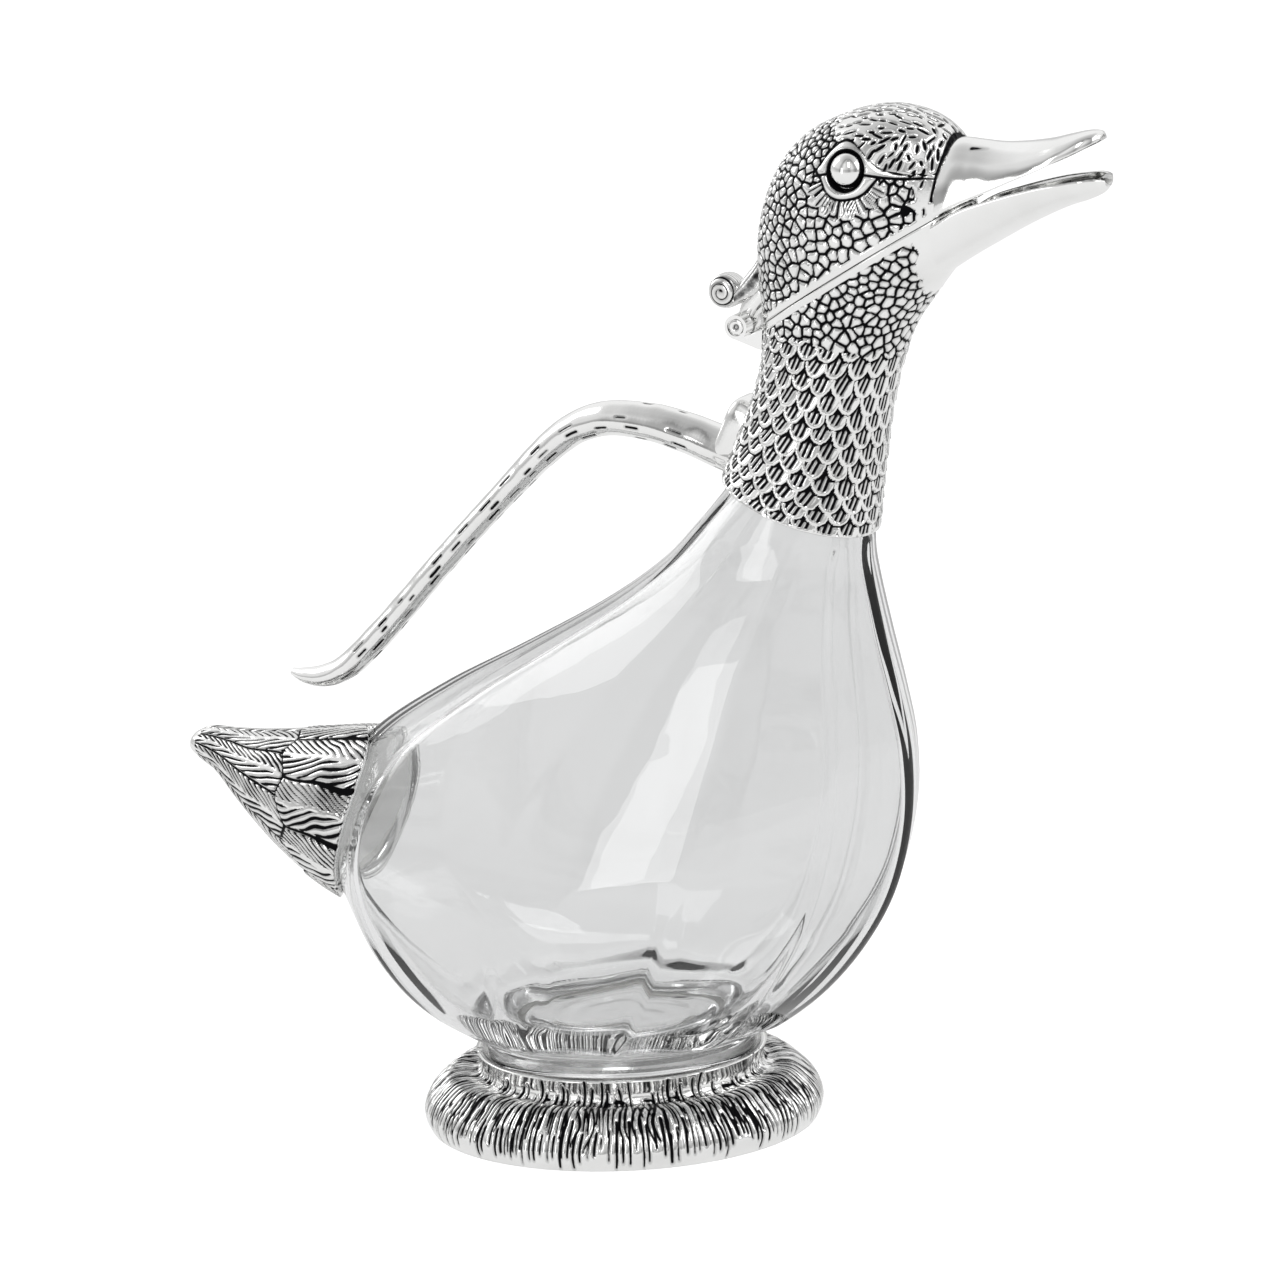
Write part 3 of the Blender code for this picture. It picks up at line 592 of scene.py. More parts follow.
def feathers(across, down, seed):
    """A field of overlapping rounded feathers that point towards smaller `down`.

    Returns the distance to the nearest dark line, and the height of the surface.
    across is measured in feathers and closes after FEATHERS_ROUND of them, down in millimetres.
    """
    rng = np.random.default_rng(seed)
    jitter = rng.uniform(-1, 1, (400, FEATHERS_ROUND + 1, 4))
    half = FEATHER_WIDTH * 0.56
    row_low = np.floor((down - FEATHER_REACH) / FEATHER_PITCH).astype(int)
    taken = np.zeros(across.shape, bool)
    groove = np.full(across.shape, FULL)
    height = np.zeros(across.shape)
    above = np.full(across.shape, 9.0)
    for step in range(int(FEATHER_REACH / FEATHER_PITCH) + 3, -1, -1):
        row = row_low + step
        shift = np.where(row % 2 == 0, 0.0, 0.5)
        column = np.floor(across - shift + 0.5).astype(int)
        wob = jitter[row % 400, column % FEATHERS_ROUND]
        x = (across - shift - column) * FEATHER_WIDTH + wob[..., 0] * FEATHER_WIDTH * 0.07
        root = row * FEATHER_PITCH
        y = root - down + wob[..., 1] * FEATHER_PITCH * 0.14
        tip = np.hypot(x, np.maximum(y, 0) * half / FEATHER_REACH)
        inside = half * (1 + 0.05 * wob[..., 2]) - tip
        near = root <= down + FEATHER_REACH
        covers = (inside > 0) & ~taken & near
        above = np.minimum(above, np.where(near & ~taken & (inside <= 0), -inside, 9.0))
        fan = x + (0.28 + 0.12 * wob[..., 3]) * y
        spacing = FEATHER_WIDTH / (FEATHER_RIBS + 1)
        phase = fan / spacing + 0.5 * (FEATHER_RIBS % 2 == 0) + 0.5
        rib = np.abs(phase % 1 - 0.5) * spacing
        rib_end = ease(inside, 0.4, 0.75)
        ribbed = np.abs(fan) < spacing * FEATHER_RIBS / 2
        line = np.where(ribbed, rib + (1 - rib_end) * 1.2 - RIB_LINE, 1.0)
        groove = np.where(covers, np.minimum(line, np.maximum(above - OVERLAP_LINE, -0.3)), groove)
        lift = ease(y, -FEATHER_REACH * 0.2, FEATHER_REACH)
        rim = ease(inside, 0.0, 0.2) * (1 - ease(inside, 0.3, 0.75))
        height = np.where(covers, 0.42 * lift + 0.14 * rim, height)
        taken |= covers
    return groove, height


# ---------------------------------------------------------------- glass
def crease_factors(angles):
    whole = 2 * np.pi
    folded = np.degrees(np.minimum(angles % whole, whole - angles % whole))
    out = np.ones_like(folded)
    for a, b in zip(CREASES, CREASES[1:]):
        here = (folded >= a) & (folded <= b)
        across = (folded - (a + b) / 2) / (b - a) * PANEL_ARC
        panel = 1 - CREASE_DEPTH * (1 - math.cos(PANEL_ARC / 2) / np.cos(across))
        out = np.where(here, panel, out)
    return out


def neck_circle(distance, radius, angles):
    sin, cos = math.sin(NECK_TILT), math.cos(NECK_TILT)
    centre = (NECK_FOOT[0] + distance * sin, NECK_FOOT[1] + distance * cos)
    x, z = centre
    ends = (x - radius * cos, z + radius * sin, x + radius * cos, z - radius * sin)
    return section_points(np.array([*ends, radius, 0.5, 0.0]), angles)


def glass():
    angles = whole_turn(240)
    factors = crease_factors(angles)
    rows = np.array(GLASS_ROWS)
    base = along_rows(rows[:FIRST_INNER], np.linspace(0, FIRST_INNER - 1, 9))[:-1]
    outer = [section_points(r, angles) for r in base]
    for u in np.linspace(FIRST_INNER - 1, len(rows) - 1, 130):
        fade = min(1.0, u - FIRST_INNER + 1)
        row = along_rows(rows, np.array(u))
        outer.append(section_points(row, angles, 0.5 * fade, 1 + (factors - 1) * fade))
    neck = along_rows(GLASS_NECK, np.linspace(0, len(GLASS_NECK) - 1, 16))
    outer += [neck_circle(s, r, angles) for s, r, _ in neck[1:]]
    inner = [neck_circle(s, bore, angles) for s, _, bore in neck[::-1]]
    inset_rows = np.column_stack([rows[FIRST_INNER:], INSETS])
    for u in np.linspace(len(inset_rows) - 1, 0, 110):
        row = along_rows(inset_rows, np.array(u))
        fade = 0.6 * min(1.0, u / 2.5)
        inner.append(section_points(row[:7], angles, -row[7], 1 + (factors - 1) * fade))
    floor = section_points(np.array(FLOOR_ROW), angles)
    last = inner[-1]
    inner += [last + (floor - last) * t for t in (0.35, 0.7, 1.0)]
    # the floor is a little domed, with faint rings
    centre = np.array([0, 0, floor[0, 2]])
    for part in np.linspace(0.96, 0.06, 28):
        rise = 0.22 * (1 - part) + 0.13 * math.cos(part * 22)
        inner.append(centre + (floor - centre) * part + (0, 0, rise))
    made = skin("glass_body_blown", outer + inner)
    return finish_piece(made, clear_glass(), "jug", "clear_glass", "glass_body")


# ---------------------------------------------------------------- neck and head
def parting_height(points):
    """Height over the parting plane, square to it."""
    rise = points[..., 2] - PARTING_POINT[1] - PARTING_SLOPE * (points[..., 0] - PARTING_POINT[0])
    return rise / math.hypot(1, PARTING_SLOPE)


def parting_rows(angles, side):
    """Where each meridian of the bust meets the lid's (1) or the collar's (-1) parting face."""
    low, high = np.full(angles.shape, 3.0), np.full(angles.shape, 10.5)
    for _ in range(40):
        middle = (low + high) / 2
        rise = parting_height(section_points(along_rows(BUST_OUTER, middle), angles))
        below = rise < side * PARTING_GAP
        low, high = np.where(below, middle, low), np.where(below, high, middle)
    return (low + high) / 2


def bust_grid(angles, start, end, count):
    t = np.linspace(0, 1, count)[:, None]
    u = start[None] + (end - start)[None] * t
    around = np.broadcast_to(angles, u.shape)
    return section_points(along_rows(BUST_OUTER, u), around), u, around


def raised(points, normals, height):
    """A grid of points moved along its normals."""
    return points + normals * height.reshape(points.shape[:2])[..., None]


def bill_clearance(rows, points):
    """Distance outside a bill's cross-section."""
    x, y, z = points.T
    u = np.interp(x, [r[0] for r in rows], np.arange(len(rows)))
    _, edge, ridge, half = along_rows(rows, u).T
    level = np.clip((z - edge) / (ridge - edge), -0.3, None)
    return (np.hypot(y / half, level) - 1) * half


def strayed(points, seeds):
    return points + WOBBLE * np.stack([lattice_noise(points, 1.3, seed) for seed in seeds], -1)


def pebble_relief(edge):
    groove = edge - PEBBLE_LINE
    height = PEBBLE_HEIGHT * (1 - (1 - np.clip(edge / 1.2, 0, 1)) ** 2)
    return groove, height


def line_distance(x, z, line):
    """Distance, seen from the side, from each point to a line through these places."""
    out = np.full(x.shape, 99.0)
    for (ax, az), (bx, bz) in zip(line, line[1:]):
        run = max((bx - ax) ** 2 + (bz - az) ** 2, 1e-9)
        t = np.clip(((x - ax) * (bx - ax) + (z - az) * (bz - az)) / run, 0, 1)
        out = np.minimum(out, np.hypot(x - ax - t * (bx - ax), z - az - t * (bz - az)))
    return out


def smooth_line(points, count=40):
    return along_rows(points, np.linspace(0, len(points) - 1, count))


# lines round the eye, seen from the side
CORNER_LINE = ((91.5, 270.0), (97.3, 269.2), (102.1, 268.7), (107.1, 268.5))
CHEEK_LINE = ((107.1, 268.5), (110.1, 267.8), (112.7, 265.6), (114.2, 263.1), (114.8, 260.6))
BROW_LINE = (
    (78.6, 269.8), (82.0, 274.6), (85.9, 277.9), (90.0, 276.9), (94.6, 273.1), (98.0, 271.0),
    (103.5, 269.6),
)
LID_LINE = (
    (78.4, 270.4), (80.6, 268.0), (82.3, 265.0), (85.2, 263.2), (89.3, 263.3), (93.1, 264.8),
    (96.4, 268.4),
)
BACK_CORNER = ((77.6, 268.4), (80.4, 269.0), (83.4, 269.7))


def head():
    columns = 400
    angles = whole_turn(columns)
    start = parting_rows(angles, 1)
    points, _, _ = bust_grid(angles, start, np.full(columns, len(BUST_OUTER) - 1.0), 225)
    normals = grid_normals(points)
    normals[-3:] = (0, 0, 1)
    flat = points.reshape(-1, 3)
    x, y, z = flat.T
    rim = parting_height(flat)
    large = ease(x, 56, 80) * (1 - ease(z, 255, 276))
    size = 1.95 + 0.55 * large + 0.35 * lattice_noise(flat, 9, 6)
    seeds = flat[scatter(flat, size, 1500, 3)]
    groove, height = pebble_relief(cell_edges(strayed(flat, (1, 2, 3)), seeds))

    # crown and forehead: polished, with short strokes
    edge_of_crown = np.maximum(CROWN_Z, 270.5 + (91.5 - x) * 0.95)
    edge_of_crown = edge_of_crown + 1.2 * lattice_noise(flat, 5, 7)
    crown = ease(z - edge_of_crown, -0.4, 0.6)
    cheek = ease(x - 105.5 + (z - 262) * 0.1, -0.5, 0.5) * (z < 269)
    bare = np.maximum(crown, cheek)
    rng = np.random.default_rng(11)
    plain_points = flat[bare > 0.3]
    picked = scatter(plain_points, 2.15 + 0.9 * (plain_points[:, 2] < 268), 700, 5)
    spots, across = plain_points[picked], normals.reshape(-1, 3)[bare > 0.3][picked]
    lean = ease(spots[:, 2], 275, 282)
    aim = np.column_stack([-0.35 - 0.65 * lean, np.zeros(len(spots)), -0.9 + 0.9 * lean])
    aim += rng.normal(0, 0.25, aim.shape)
    aim -= across * (aim * across).sum(1)[:, None]
    aim /= np.linalg.norm(aim, axis=1)[:, None]
    reach = rng.uniform(0.7, 1.9, len(spots))[:, None]
    widths = rng.uniform(0.26, 0.46, len(spots))
    strokes = stroke_distance(flat, spots - aim * reach, spots + aim * reach, widths)
    groove = np.where(bare > 0.5, strokes, groove)
    height = height * (1 - bare) + (0.1 + 0.2 * ease(strokes, -0.1, 0.6)) * bare

    # the eye: radial strokes under it, lids, corner lines and the ring round the ball
    on_side = np.abs(y) > 7
    ex, ez = x - EYE_CENTRE[0], z - EYE_CENTRE[2]
    eye_r = np.where(on_side, np.hypot(ex, ez), 99)
    turn = np.arctan2(ez, ex)
    below = (turn > -2.75) & (turn < -0.35)
    fan = np.abs((turn * FAN_RAYS + 0.4 * np.sin(turn * 9)) % 1 - 0.5) / FAN_RAYS * eye_r
    fanned = below & (eye_r > FAN[0]) & (eye_r < FAN[1] + np.sin(turn * 21))
    groove = np.where(fanned, np.maximum(fan - 0.16, -0.2), groove)
    height = np.where(fanned, 0.22 + 0.12 * np.cos(turn * FAN_RAYS * 2 * np.pi), height)
    lid = line_distance(x, z, smooth_line(LID_LINE))
    brow = line_distance(x, z, smooth_line(BROW_LINE))
    low_line = np.interp(x, *np.array(smooth_line(LID_LINE)).T)
    high_line = np.interp(x, *np.array(smooth_line(BROW_LINE)).T)
    floor_line = np.where(x < LID_LINE[-1][0], low_line, 269.0)
    lids = on_side & (x > LID_LINE[0][0]) & (x < 104) & (z < high_line) & (z > floor_line)
    groove = np.where(lids, FULL, groove)
    height = np.where(lids, 0.35 + 0.35 * ease(np.minimum(lid, brow), 0, 1.6), height)
    patch = np.hypot(x - 104.3, (z - 260.8) * 0.7) - 1.1 + 1.6 * lattice_noise(flat, 1.2, 12)
    lines = (
        (lid, 0.34),
        (brow + 0.25 * lattice_noise(flat, 2, 13), 0.2),
        (line_distance(x, z, smooth_line(CORNER_LINE)), 0.34),
        (line_distance(x, z, smooth_line(CHEEK_LINE)), 0.2),
        (line_distance(x, z, smooth_line(BACK_CORNER)), 0.3),
        (np.abs(eye_r - EYE_RING), 0.52),
        (patch, 0.0),
    )
    for away, width in lines:
        groove = np.where(on_side, np.minimum(groove, away - width), groove)
    socket = 1 - ease(eye_r, 4.6, EYE_SOCKET)
    height = np.where(eye_r < EYE_SOCKET, height - EYE_RECESS * socket, height)
    # the crease where the bill comes out
    outside = bill_clearance(UPPER_BILL, flat)
    near_bill = (x > 103) & (z > 262)
    groove = np.where(near_bill, np.minimum(groove, outside - 0.9), groove)
    groove = np.where(near_bill & (outside < -1.2), FULL, groove)

    band = ease(rim, 1.5, 2.2)
    groove = np.where(rim < BAND, FULL, groove)
    height = height * band + 0.24 * (1 - band)
    height -= 0.28 * (1 - ease(groove, -0.1, 0.3))
    outer = raised(points, normals, height - RELIEF_SINK)
    inner, _, _ = bust_grid(angles, start, np.full(columns, len(BUST_OUTER) - 1.6), 14)
    inner = inner - grid_normals(inner) * HEAD_WALL
    rings = np.concatenate([inner[::-1], outer])
    field = np.concatenate([all_bright(inner), groove.reshape(points.shape[:2])])
    made = skin("head_feathered", rings, field)
    finish_piece(made, silver("silver_head", True), "lid", "silver_plate", "head_lid")


def collar():
    columns = 400
    angles = whole_turn(columns)
    end = parting_rows(angles, -1)
    points, u, around = bust_grid(angles, np.zeros(columns), end, 215)
    normals = grid_normals(points)
    flat = points.reshape(-1, 3)
    across = (around / (2 * np.pi) * FEATHERS_ROUND).ravel()
    down = (u * FEATHER_ROW + 0.35 * lattice_noise(points, 5, 8)).ravel()
    groove, height = feathers(across, down, seed=2)
    rise = -parting_height(flat)
    size = 2.25 + 0.3 * lattice_noise(flat, 9, 14)
    seeds = flat[scatter(flat, size, 1300, 4)]
    pebble_groove, pebble_height = pebble_relief(cell_edges(strayed(flat, (4, 5, 6)), seeds))
    pebbled = flat[:, 2] + 1.6 * lattice_noise(flat, 4, 9) > 226 - 0.2 * (flat[:, 0] - 60)
    groove = np.where(pebbled, pebble_groove, groove)
    height = np.where(pebbled, pebble_height, height)
    # the skin is smooth where the lower bill grows out of it
    outside = bill_clearance(LOWER_BILL, flat) + 0.8 * lattice_noise(flat, 3, 15)
    root = ease(outside, 1.2, 3.0) + (flat[:, 0] < 99)
    groove = np.where(root < 0.5, FULL, groove)
    height = height * np.clip(root, 0, 1) + 0.3 * (1 - np.clip(root, 0, 1))
    band = ease(rise, 1.6, 2.3)
    groove = np.where(rise < BAND, FULL, groove)
    height = height * band + 0.22 * (1 - band)
    foot = down - 0.8 - 0.5 * lattice_noise(flat, 2.5, 10)
    groove = np.where(foot < 0, FULL, groove)
    height = np.where(foot < 0, 0.35, height)
    height -= 0.25 * (1 - ease(groove, -0.1, 0.35))
    outer = raised(points, normals, height - RELIEF_SINK)
    inner, _, _ = bust_grid(angles, np.zeros(columns), end, 14)
    inner = inner - grid_normals(inner) * COLLAR_WALL
    rings = np.concatenate([outer, inner[::-1]])
    field = np.concatenate([groove.reshape(points.shape[:2]), all_bright(inner)])
    made = skin("collar_feathered", rings, field, joined=True)
    finish_piece(made, silver("silver_neck", True), "jug", "silver_plate", "neck_collar")


def bill_grid(rows, count, columns, inset=0.0):
    """The arch of a bill from edge to edge, from its root to its tip."""
    u = np.linspace(0, len(rows) - 1, count)[:, None]
    t = np.linspace(0, math.pi, columns)[None]
    row = along_rows(rows, np.broadcast_to(u, (count, columns)))
    x, edge, ridge, half = (row[..., k] for k in range(4))
    way = np.sign(ridge - edge)
    wide = np.maximum(half - inset, 0.1)
    tall = np.maximum(np.abs(ridge - edge) - inset, 0.1)
    side = wide * np.cos(t)
    high = edge + way * tall * np.sin(t) ** 0.85
    return np.stack([x, side, high], -1)


def bill(name, rows, body, node):
    rows = rows[BILL_START:]
    outer = bill_grid(rows, 150, 110)
    inner = bill_grid(rows, 150, 110, BILL_WALL)
    inner[..., 0] = np.minimum(inner[..., 0], rows[-1][0] - BILL_WALL * 1.6)
    rings = np.concatenate([outer, inner[:, ::-1]], 1)
    slit = line_distance(rings[..., 0], rings[..., 2], NOSTRIL)
    slit = np.hypot(slit, np.abs(np.abs(rings[..., 1]) - NOSTRIL_SIDE) * 0.8) - 0.45
    made = skin(name, rings, slit)
    finish_piece(made, silver("silver_" + name, True, 0.09, 0.03), body, "silver_plate", node)


def eyes():
    look = silver("silver_polished", False, 0.05, 0.02)
    x, y, z = EYE_CENTRE
    for side, node in ((-1, "eye_right"), (1, "eye_left")):
        work = bmesh.new()
        place = Matrix.Translation(Vector((x + FOOT_X, side * y, z)) * MM)
        bmesh.ops.create_icosphere(work, subdivisions=5, radius=EYE_R * MM, matrix=place)
        ball = piece_from_bmesh(node + "_ball", work)
        ball.data.shade_smooth()
        finish_piece(ball, look, "lid", "silver_plate", node)


# ---------------------------------------------------------------- foot, tail, handle
def turned_profile(points, count):
    """Even steps along a smooth curve through the points."""
    fine = along_rows(points, np.linspace(0, len(points) - 1, 800))
    run = distance_along(fine)
    even = np.linspace(0, run[-1], count)
    return np.column_stack([np.interp(even, run, fine[:, k]) for k in (0, 1)]), even


def revolved(profile, angles):
    r, z = profile[:, :1], profile[:, 1:]
    return np.stack([r * np.cos(angles), r * np.sin(angles), z + 0 * angles], -1)


def foot():
    columns, count = 960, 86
    angles = whole_turn(columns)
    profile, run = turned_profile(FOOT_OUTSIDE[1:], count)
    points = revolved(profile, angles)
    normals = grid_normals(points)
    s = np.broadcast_to(run[:, None], points.shape[:2])
    a = np.broadcast_to(angles[None], points.shape[:2])
    total = run[-1]
    rng = np.random.default_rng(21)
    groove = all_bright(points)
    # how many lines, where along the outline they begin and end, and how far they sway
    for lines, begin, end, sway in (
        (150, 0.3, total - 9.0, 0.03),
        (165, 6.0, total - 4.0, 0.035),
        (175, total - 15.0, total - 1.2, 0.02),
    ):
        bend = sway * lattice_noise(np.stack([s * 0.11, a * 6], -1), 1.0, lines)
        k = (a + bend) / (2 * np.pi) * lines
        cell = np.floor(k).astype(int) % lines
        offset = rng.uniform(-0.26, 0.26, lines)[cell]
        spare = (end - begin) * 0.42
        low = begin + rng.uniform(-0.2, spare, lines)[cell]
        high = end - rng.uniform(-0.2, spare, lines)[cell]
        taper = 1 - 0.35 * ((s - low) / np.maximum(high - low, 1)) ** 2
        width = rng.uniform(0.16, 0.42, lines)[cell] * taper
        away = np.abs(k - np.floor(k) - 0.5 + offset) * 2 * np.pi / lines * profile[:, :1]
        ends = np.maximum(np.maximum(low - s, s - high), 0)
        groove = np.minimum(groove, np.hypot(away, ends * 0.6) - width)
    hollow = np.abs(s - FOOT_WAIST) + 0.1 + 1.1 * lattice_noise(np.stack([a * 26, s], -1), 1.0, 5)
    groove = np.minimum(groove, hollow)
    height = 0.22 * ease(groove, 0.0, 0.6) - 0.35 * (1 - ease(groove, -0.25, 0.15))
    outer = points + normals * (height - 0.1)[..., None]
    outer[..., 2] = np.maximum(outer[..., 2], 0)
    inner = revolved(np.array(FOOT_INSIDE + FOOT_OUTSIDE[:1]), angles)
    rings = np.concatenate([outer, inner])
    field = np.concatenate([groove, all_bright(inner)])
    made = skin("foot_cast", rings, field, joined=True)
    finish_piece(made, silver("silver_foot", True), "jug", "silver_plate", "foot_ring")


def glass_clearance(tree, place):
    """Distance outside the glass."""
    place = (Vector(place) + Vector((FOOT_X, 0, 0))) * MM
    nearest, normal, _, distance = tree.find_nearest(place)
    outside = (place - nearest).dot(normal) > 0
    return distance / MM * (1 if outside else -1)


def tail(blown):
    columns = 380
    angles = whole_turn(columns)
    rows = np.array(TAIL_OUTER)
    end = len(rows) - 1
    work = bmesh.new()
    work.from_mesh(blown.data)
    tree = BVHTree.FromBMesh(work)
    work.free()
    start = np.zeros(columns)
    for k, angle in enumerate(angles):
        low, high = 0.0, 4.5
        for _ in range(11):
            middle = (low + high) / 2
            place = section_points(along_rows(rows, np.array(middle)), np.array(angle))
            clear = glass_clearance(tree, place) > TAIL_BEDDING
            low, high = (low, middle) if clear else (middle, high)
        start[k] = high
    t = np.linspace(0, 1, 210)[:, None]
    grid_u = start[None] + (end - start)[None] * t
    around = np.broadcast_to(angles, grid_u.shape)
    points = section_points(along_rows(rows, grid_u), around)
    normals = grid_normals(points)
    flat = points.reshape(-1, 3)
    across = (around / (2 * np.pi) * TAIL_FEATHERS).ravel() + 0.12 * lattice_noise(flat, 9, 33)
    # distance along the tail from its tip, and the width of a feather there
    down = flat[:, 0] + 130 + 0.10 * (flat[:, 2] - 90)
    girth = np.interp(down, [0, 3, 12, 22, 34, 50], [2.6, 4.4, 7.4, 10.8, 13.4, 15.0])
    border = TAIL_TIER + 1.2 * np.cos(2 * np.pi * across) + 0.9 * lattice_noise(flat, 6, 35)
    tier = np.where(down > border, 1, 0)
    side = np.where(tier == 1, across % 1 - 0.5, (across + 0.5) % 1 - 0.5)
    off = side * girth
    shaft = np.abs(off)
    seam = girth / 2 - shaft
    # barbs lean more on one side of a feather's shaft than on the other
    slope = np.where(off > 0, 0.34, 0.72)
    wave = 0.5 * lattice_noise(flat, 3.5, 30)
    barb = np.abs(((down * slope + shaft + wave) / BARB_PITCH) % 1 - 0.5) * BARB_PITCH
    short = 0.30 + 0.16 * lattice_noise(flat, 4.5, 34)
    groove = np.where(shaft < 0.5 + 0.4 * lattice_noise(flat, 3, 36), FULL, barb - short)
    groove = np.where(seam < 0.6, FULL, groove)
    dark = 0.36 + 0.5 * ease(down - border, 6, 22) * (tier == 1)
    groove = np.minimum(groove, seam - dark)
    tier_edge = np.abs(down - border)
    groove = np.minimum(groove, tier_edge - 0.42)
    groove = np.where(down < 4.5 + 1.5 * lattice_noise(flat, 3, 31), FULL, groove)
    height = 0.5 * tier + 0.45 * ease(seam, 0, 1.6) - 0.28 * (1 - ease(groove, -0.1, 0.3))
    height *= ease(down, 1, 8)
    outer = raised(points, normals, height)
    tip = points[-1].mean(0) - (0.5, 0, 0.1)
    cap = np.array([tip + (outer[-1] - tip) * k + (0.25 * k, 0, 0) for k in (0.85, 0.6, 0.3)])
    inner = points[: int(len(t) * 0.8) : 8]
    inner = inner - grid_normals(inner) * TAIL_WALL
    rings = np.concatenate([inner[::-1], outer, cap])
    parts = [all_bright(inner), groove.reshape(points.shape[:2]), all_bright(cap)]
    field = np.concatenate(parts)
    made = skin("tail_feathered", rings, field)
    finish_piece(made, silver("silver_tail", True), "jug", "silver_plate", "tail_mount")


def handle():
    rows = np.array(HANDLE)
    u = np.linspace(0, len(rows) - 1, 420)
    line = along_rows(rows, u)
    way = directions(line)
    normal = np.column_stack([-way[:, 1], way[:, 0]])
    angles = whole_turn(96)
    r = line[:, 2][:, None] * (1 + 0.02 * np.cos(4 * angles))
    c, s = np.cos(angles), np.sin(angles)
    x, z = (line[:, k : k + 1] + normal[:, k : k + 1] * r * c for k in (0, 1))
    points = np.stack([x, r * HANDLE_WIDTH * s, z], -1)
    rng = np.random.default_rng(31)
    run = distance_along(line[:, :2])
    groove = all_bright(points)
    for ring in NICK_ROWS:
        place = 6.0
        while place < run[-1] - 12:
            length = rng.uniform(1.5, 4.2)
            centre = math.radians(ring + rng.uniform(-7, 7))
            apart = (angles - centre + np.pi) % (2 * np.pi) - np.pi
            past_end = np.maximum(np.abs(run - place)[:, None] - length / 2, 0)
            away = np.hypot(apart[None] * line[:, 2:3], past_end * 0.8)
            groove = np.minimum(groove, away - rng.uniform(0.14, 0.34))
            place += length + rng.uniform(4, 15)
    height = -0.3 * (1 - ease(groove, -0.2, 0.35)) + 0.10 * lattice_noise(points, 4.0, 32)
    outer = points + grid_normals(points) * height[..., None]
    tip = line[-1]
    end = np.array([tip[0], 0, tip[1]])
    push = np.array([-0.6, 0, 0.15])
    caps = np.array([end + (outer[-1] - end) * t + push * (1 - t) for t in (0.8, 0.5, 0.2)])
    rings = np.concatenate([outer, caps])
    field = np.concatenate([groove, all_bright(caps)])
    made = skin("handle_cast", rings, field)
    finish_piece(made, silver("silver_handle", True, 0.1), "jug", "silver_plate", "handle")


def signed_power(value, power):
    return np.sign(value) * np.abs(value) ** power


def pad():
    """The cushion between handle and neck."""
    t = np.linspace(0.02, math.pi - 0.02, 60)[:, None]
    a = whole_turn(96)[None]
    power = 0.5
    sx, sy, sz = (k / 2 for k in PAD_SIZE)
    ring = np.sin(t) ** power
    local_x = sx * ring * signed_power(np.cos(a), power)
    local_y = sy * ring * signed_power(np.sin(a), power)
    local_z = sz * signed_power(np.cos(t), power) + 0 * a
    c, s = math.cos(PAD_TILT), math.sin(PAD_TILT)
    x = PAD_CENTRE[0] + local_x * c + local_z * s
    z = PAD_CENTRE[1] - local_x * s + local_z * c
    made = skin("handle_pad", np.stack([x, local_y, z], -1))
    finish_piece(made, silver("silver_pad", False, 0.12, 0.15), "jug", "silver_plate", "handle")


def bar_points(rows, count, columns, power):
    """Rounded oblong sections along a line seen from the side: x, z, half thickness, half width."""
    line = along_rows(rows, np.linspace(0, len(rows) - 1, count))
    way = directions(line)
    a = whole_turn(columns)
    c, s = signed_power(np.cos(a), power), signed_power(np.sin(a), power)
    x = line[:, 0:1] - way[:, 1:2] * line[:, 2:3] * c
    z = line[:, 1:2] + way[:, 0:1] * line[:, 2:3] * c
    return np.stack([x, line[:, 3:4] * s, z], -1), line


THUMB_STRIP = (
    (43.6, 229.4, 0.9, 3.4), (46.4, 231.4, 2.2, 3.9), (50.0, 234.4, 3.3, 3.7),
    (53.2, 238.6, 3.0, 3.3), (55.2, 243.4, 2.2, 2.8), (56.4, 248.6, 1.0, 1.6),
)
THUMB_LUG = ((47.4, 225.0, 2.2, 3.0), (49.4, 229.0, 2.6, 3.0), (53.0, 233.0, 2.6, 2.8))


def turned_on_hinge(outline, sides):
    """Rings round the hinge's axis through places given as y and radius."""
    turn = whole_turn(sides)
    x, z = np.cos(turn), np.sin(turn)
    rings = [np.stack([HINGE[0] + r * x, 0 * turn + y, HINGE[1] + r * z], -1) for y, r in outline]
    return np.array(rings)


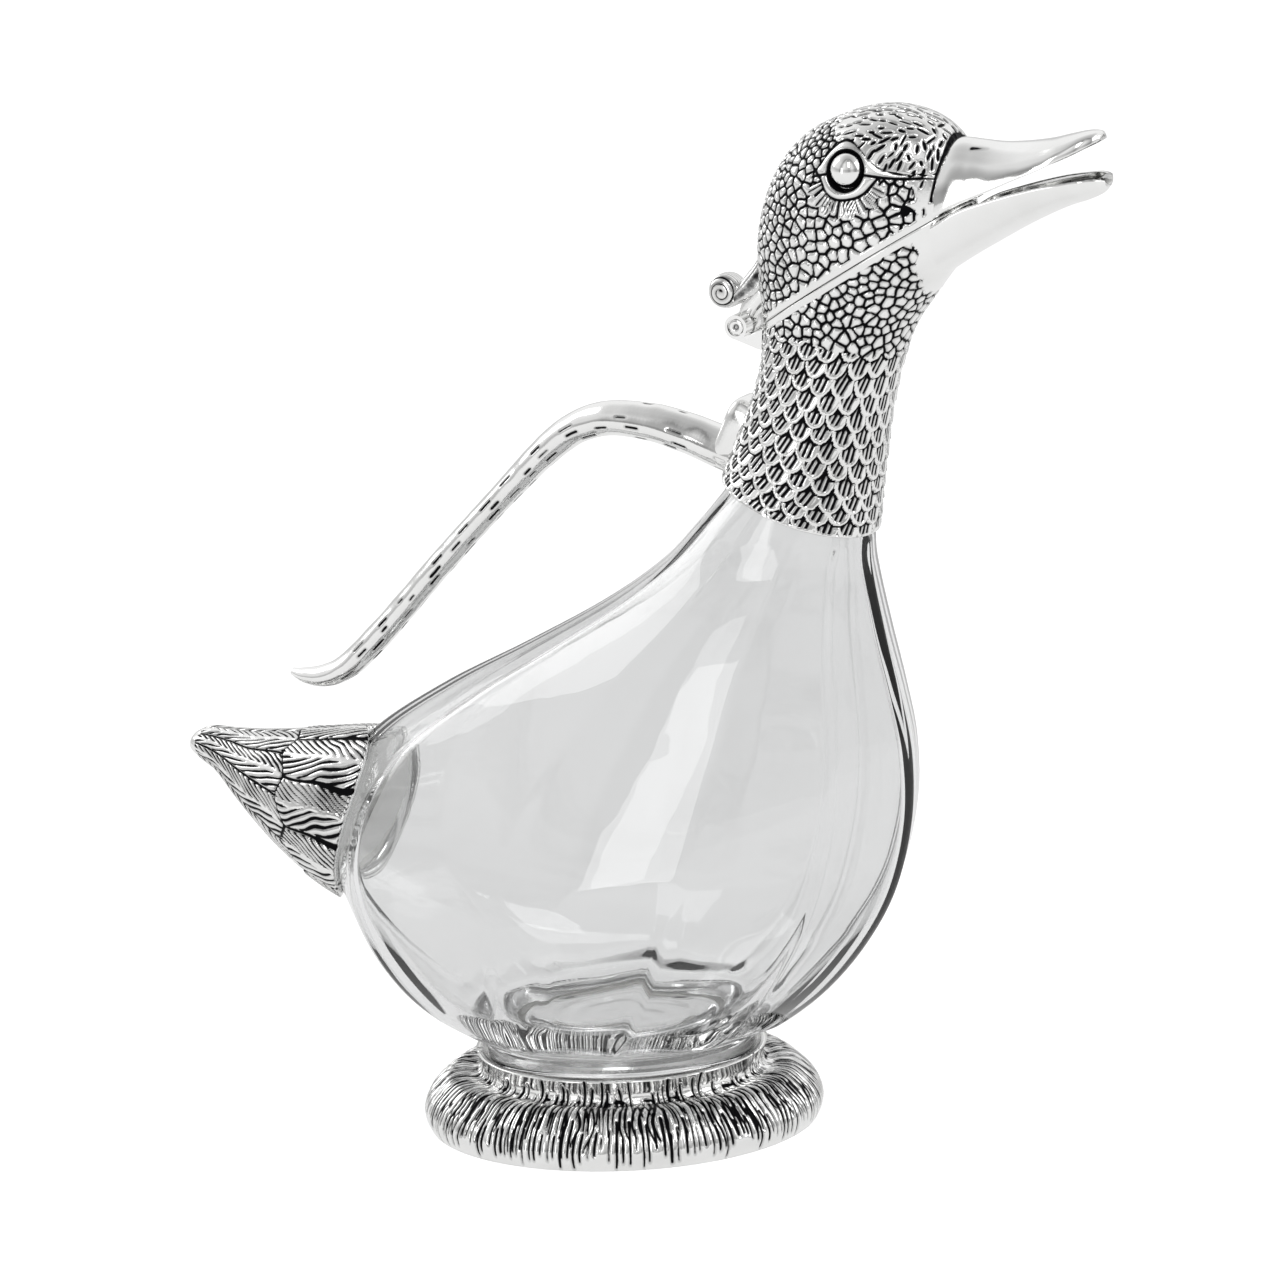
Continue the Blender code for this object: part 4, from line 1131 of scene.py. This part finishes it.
def thumb():
    """Curled thumb-piece with a spiral on its sides, its fluted strip, lug and knuckle."""
    look = silver("silver_thumb", True, 0.11, 0.1)
    t = np.linspace(0.03, math.pi - 0.03, 110)[:, None]
    a = whole_turn(180)[None]
    rho = SCROLL_R * np.sin(t) ** 0.42 + 0 * a
    y = (SCROLL_HALF + 0.2) * signed_power(np.cos(t), 0.8) + 0 * a
    coil_pitch, flute_pitch = 1.5, 0.95
    coil = ((rho / coil_pitch - a / (2 * np.pi)) % 1 - 0.5) * coil_pitch
    groove = np.where((np.abs(y) > 2.4) & (rho > 0.8), np.abs(coil) - 0.12, FULL)
    flutes = np.abs((y / flute_pitch) % 1 - 0.5) * flute_pitch + 0.12
    groove = np.where(np.abs(y) < 2.4, flutes, groove)
    rho = rho - 0.28 * (1 - ease(groove, -0.1, 0.35)) * (rho > 0.8)
    points = np.stack([SCROLL[0] + rho * np.cos(a), y, SCROLL[1] + rho * np.sin(a)], -1)
    finish_piece(skin("thumb_scroll", points, groove), look, "lid", "silver_plate", "thumb_lever")

    points, line = bar_points(THUMB_STRIP, 90, 140, 0.75)
    flutes = np.abs((points[..., 1] / line[:, 3:4] * 3.5) % 1 - 0.5) * line[:, 3:4] / 3.5
    groove = flutes + 0.02
    points = points - grid_normals(points) * (0.25 * (1 - ease(groove, 0.0, 0.35)))[..., None]
    finish_piece(skin("thumb_strip", points, groove), look, "lid", "silver_plate", "thumb_lever")

    points, _ = bar_points(THUMB_LUG, 24, 64, 0.6)
    lug = skin("thumb_lug", points, all_bright(points))
    finish_piece(lug, look, "lid", "silver_plate", "thumb_lever")
    outline = (
        (-3.1, BARREL_R - 0.05),
        (-2.9, BARREL_R - 0.25),
        (-2.7, BARREL_R),
        (2.7, BARREL_R),
        (2.9, BARREL_R - 0.25),
        (3.1, BARREL_R - 0.05),
        (3.1, PIN_BORE_R),
        (-3.1, PIN_BORE_R),
    )
    rings = turned_on_hinge(outline, 64)
    made = skin("thumb_knuckle", rings, all_bright(rings), joined=True)
    finish_piece(made, look, "lid", "silver_plate", "thumb_lever")


def pin():
    """The riveted hinge pin: a ring and a dimple on each of its heads."""
    # distance back from the head's face, radius, groove distance
    half = (
        (0.45, 0.25, 0.1),
        (0.4, 0.7, 0.0),
        (0.02, 1.0, 0.4),
        (0.0, 1.15, FULL),
        (0.0, 1.45, FULL),
        (0.03, 1.85, FULL),
        (0.15, 2.05, 0.3),
        (0.3, PIN_HEAD_R, 0.0),
        (0.48, PIN_HEAD_R, 0.0),
        (0.5, PIN_R, 0.1),
    )
    rows = [(back - PIN_HEAD_OUT, r, dark) for back, r, dark in half]
    rows += [(PIN_HEAD_OUT - back, r, dark) for back, r, dark in half[::-1]]
    rings = turned_on_hinge([row[:2] for row in rows], 72)
    groove = np.repeat([[row[2]] for row in rows], rings.shape[1], axis=1)
    made = skin("hinge_pin_riveted", rings, groove)
    finish_piece(made, silver("silver_pin", True, 0.1, 0.05), "jug", "silver_plate", "hinge_pin")


def keep_cad_nodes():
    plaster = grained("plaster", (0.84, 0.83, 0.79), (0.74, 0.73, 0.69), 900, 0.8)
    # little light finds its way through the glass to the cement in the tail, so its plaster is
    # given a painted glow in place of that light
    lit = grained("tail_plaster_painted_glow", (0.84, 0.84, 0.83), (0.74, 0.74, 0.73), 900, 0.8, 0.4)
    seal = grained("pale_seal", (0.82, 0.82, 0.80), (0.74, 0.74, 0.72), 500, 0.5)
    bright = silver("silver_small", False, 0.1, 0.05)
    looks = {
        "collar_cement": plaster,
        "foot_cement": plaster,
        "tail_cement": lit,
        "neck_gasket": seal,
        "hinge_bracket": bright,
    }
    for name, look in looks.items():
        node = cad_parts[name]
        node.data.materials.clear()
        node.data.materials.append(look)


camera()
studio()
blown = glass()
head()
collar()
bill("upper_bill", UPPER_BILL, "lid", "head_lid")
bill("lower_bill", LOWER_BILL, "jug", "neck_collar")
eyes()
foot()
tail(blown)
handle()
pad()
thumb()
pin()
keep_cad_nodes()

bpy.context.view_layer.update()
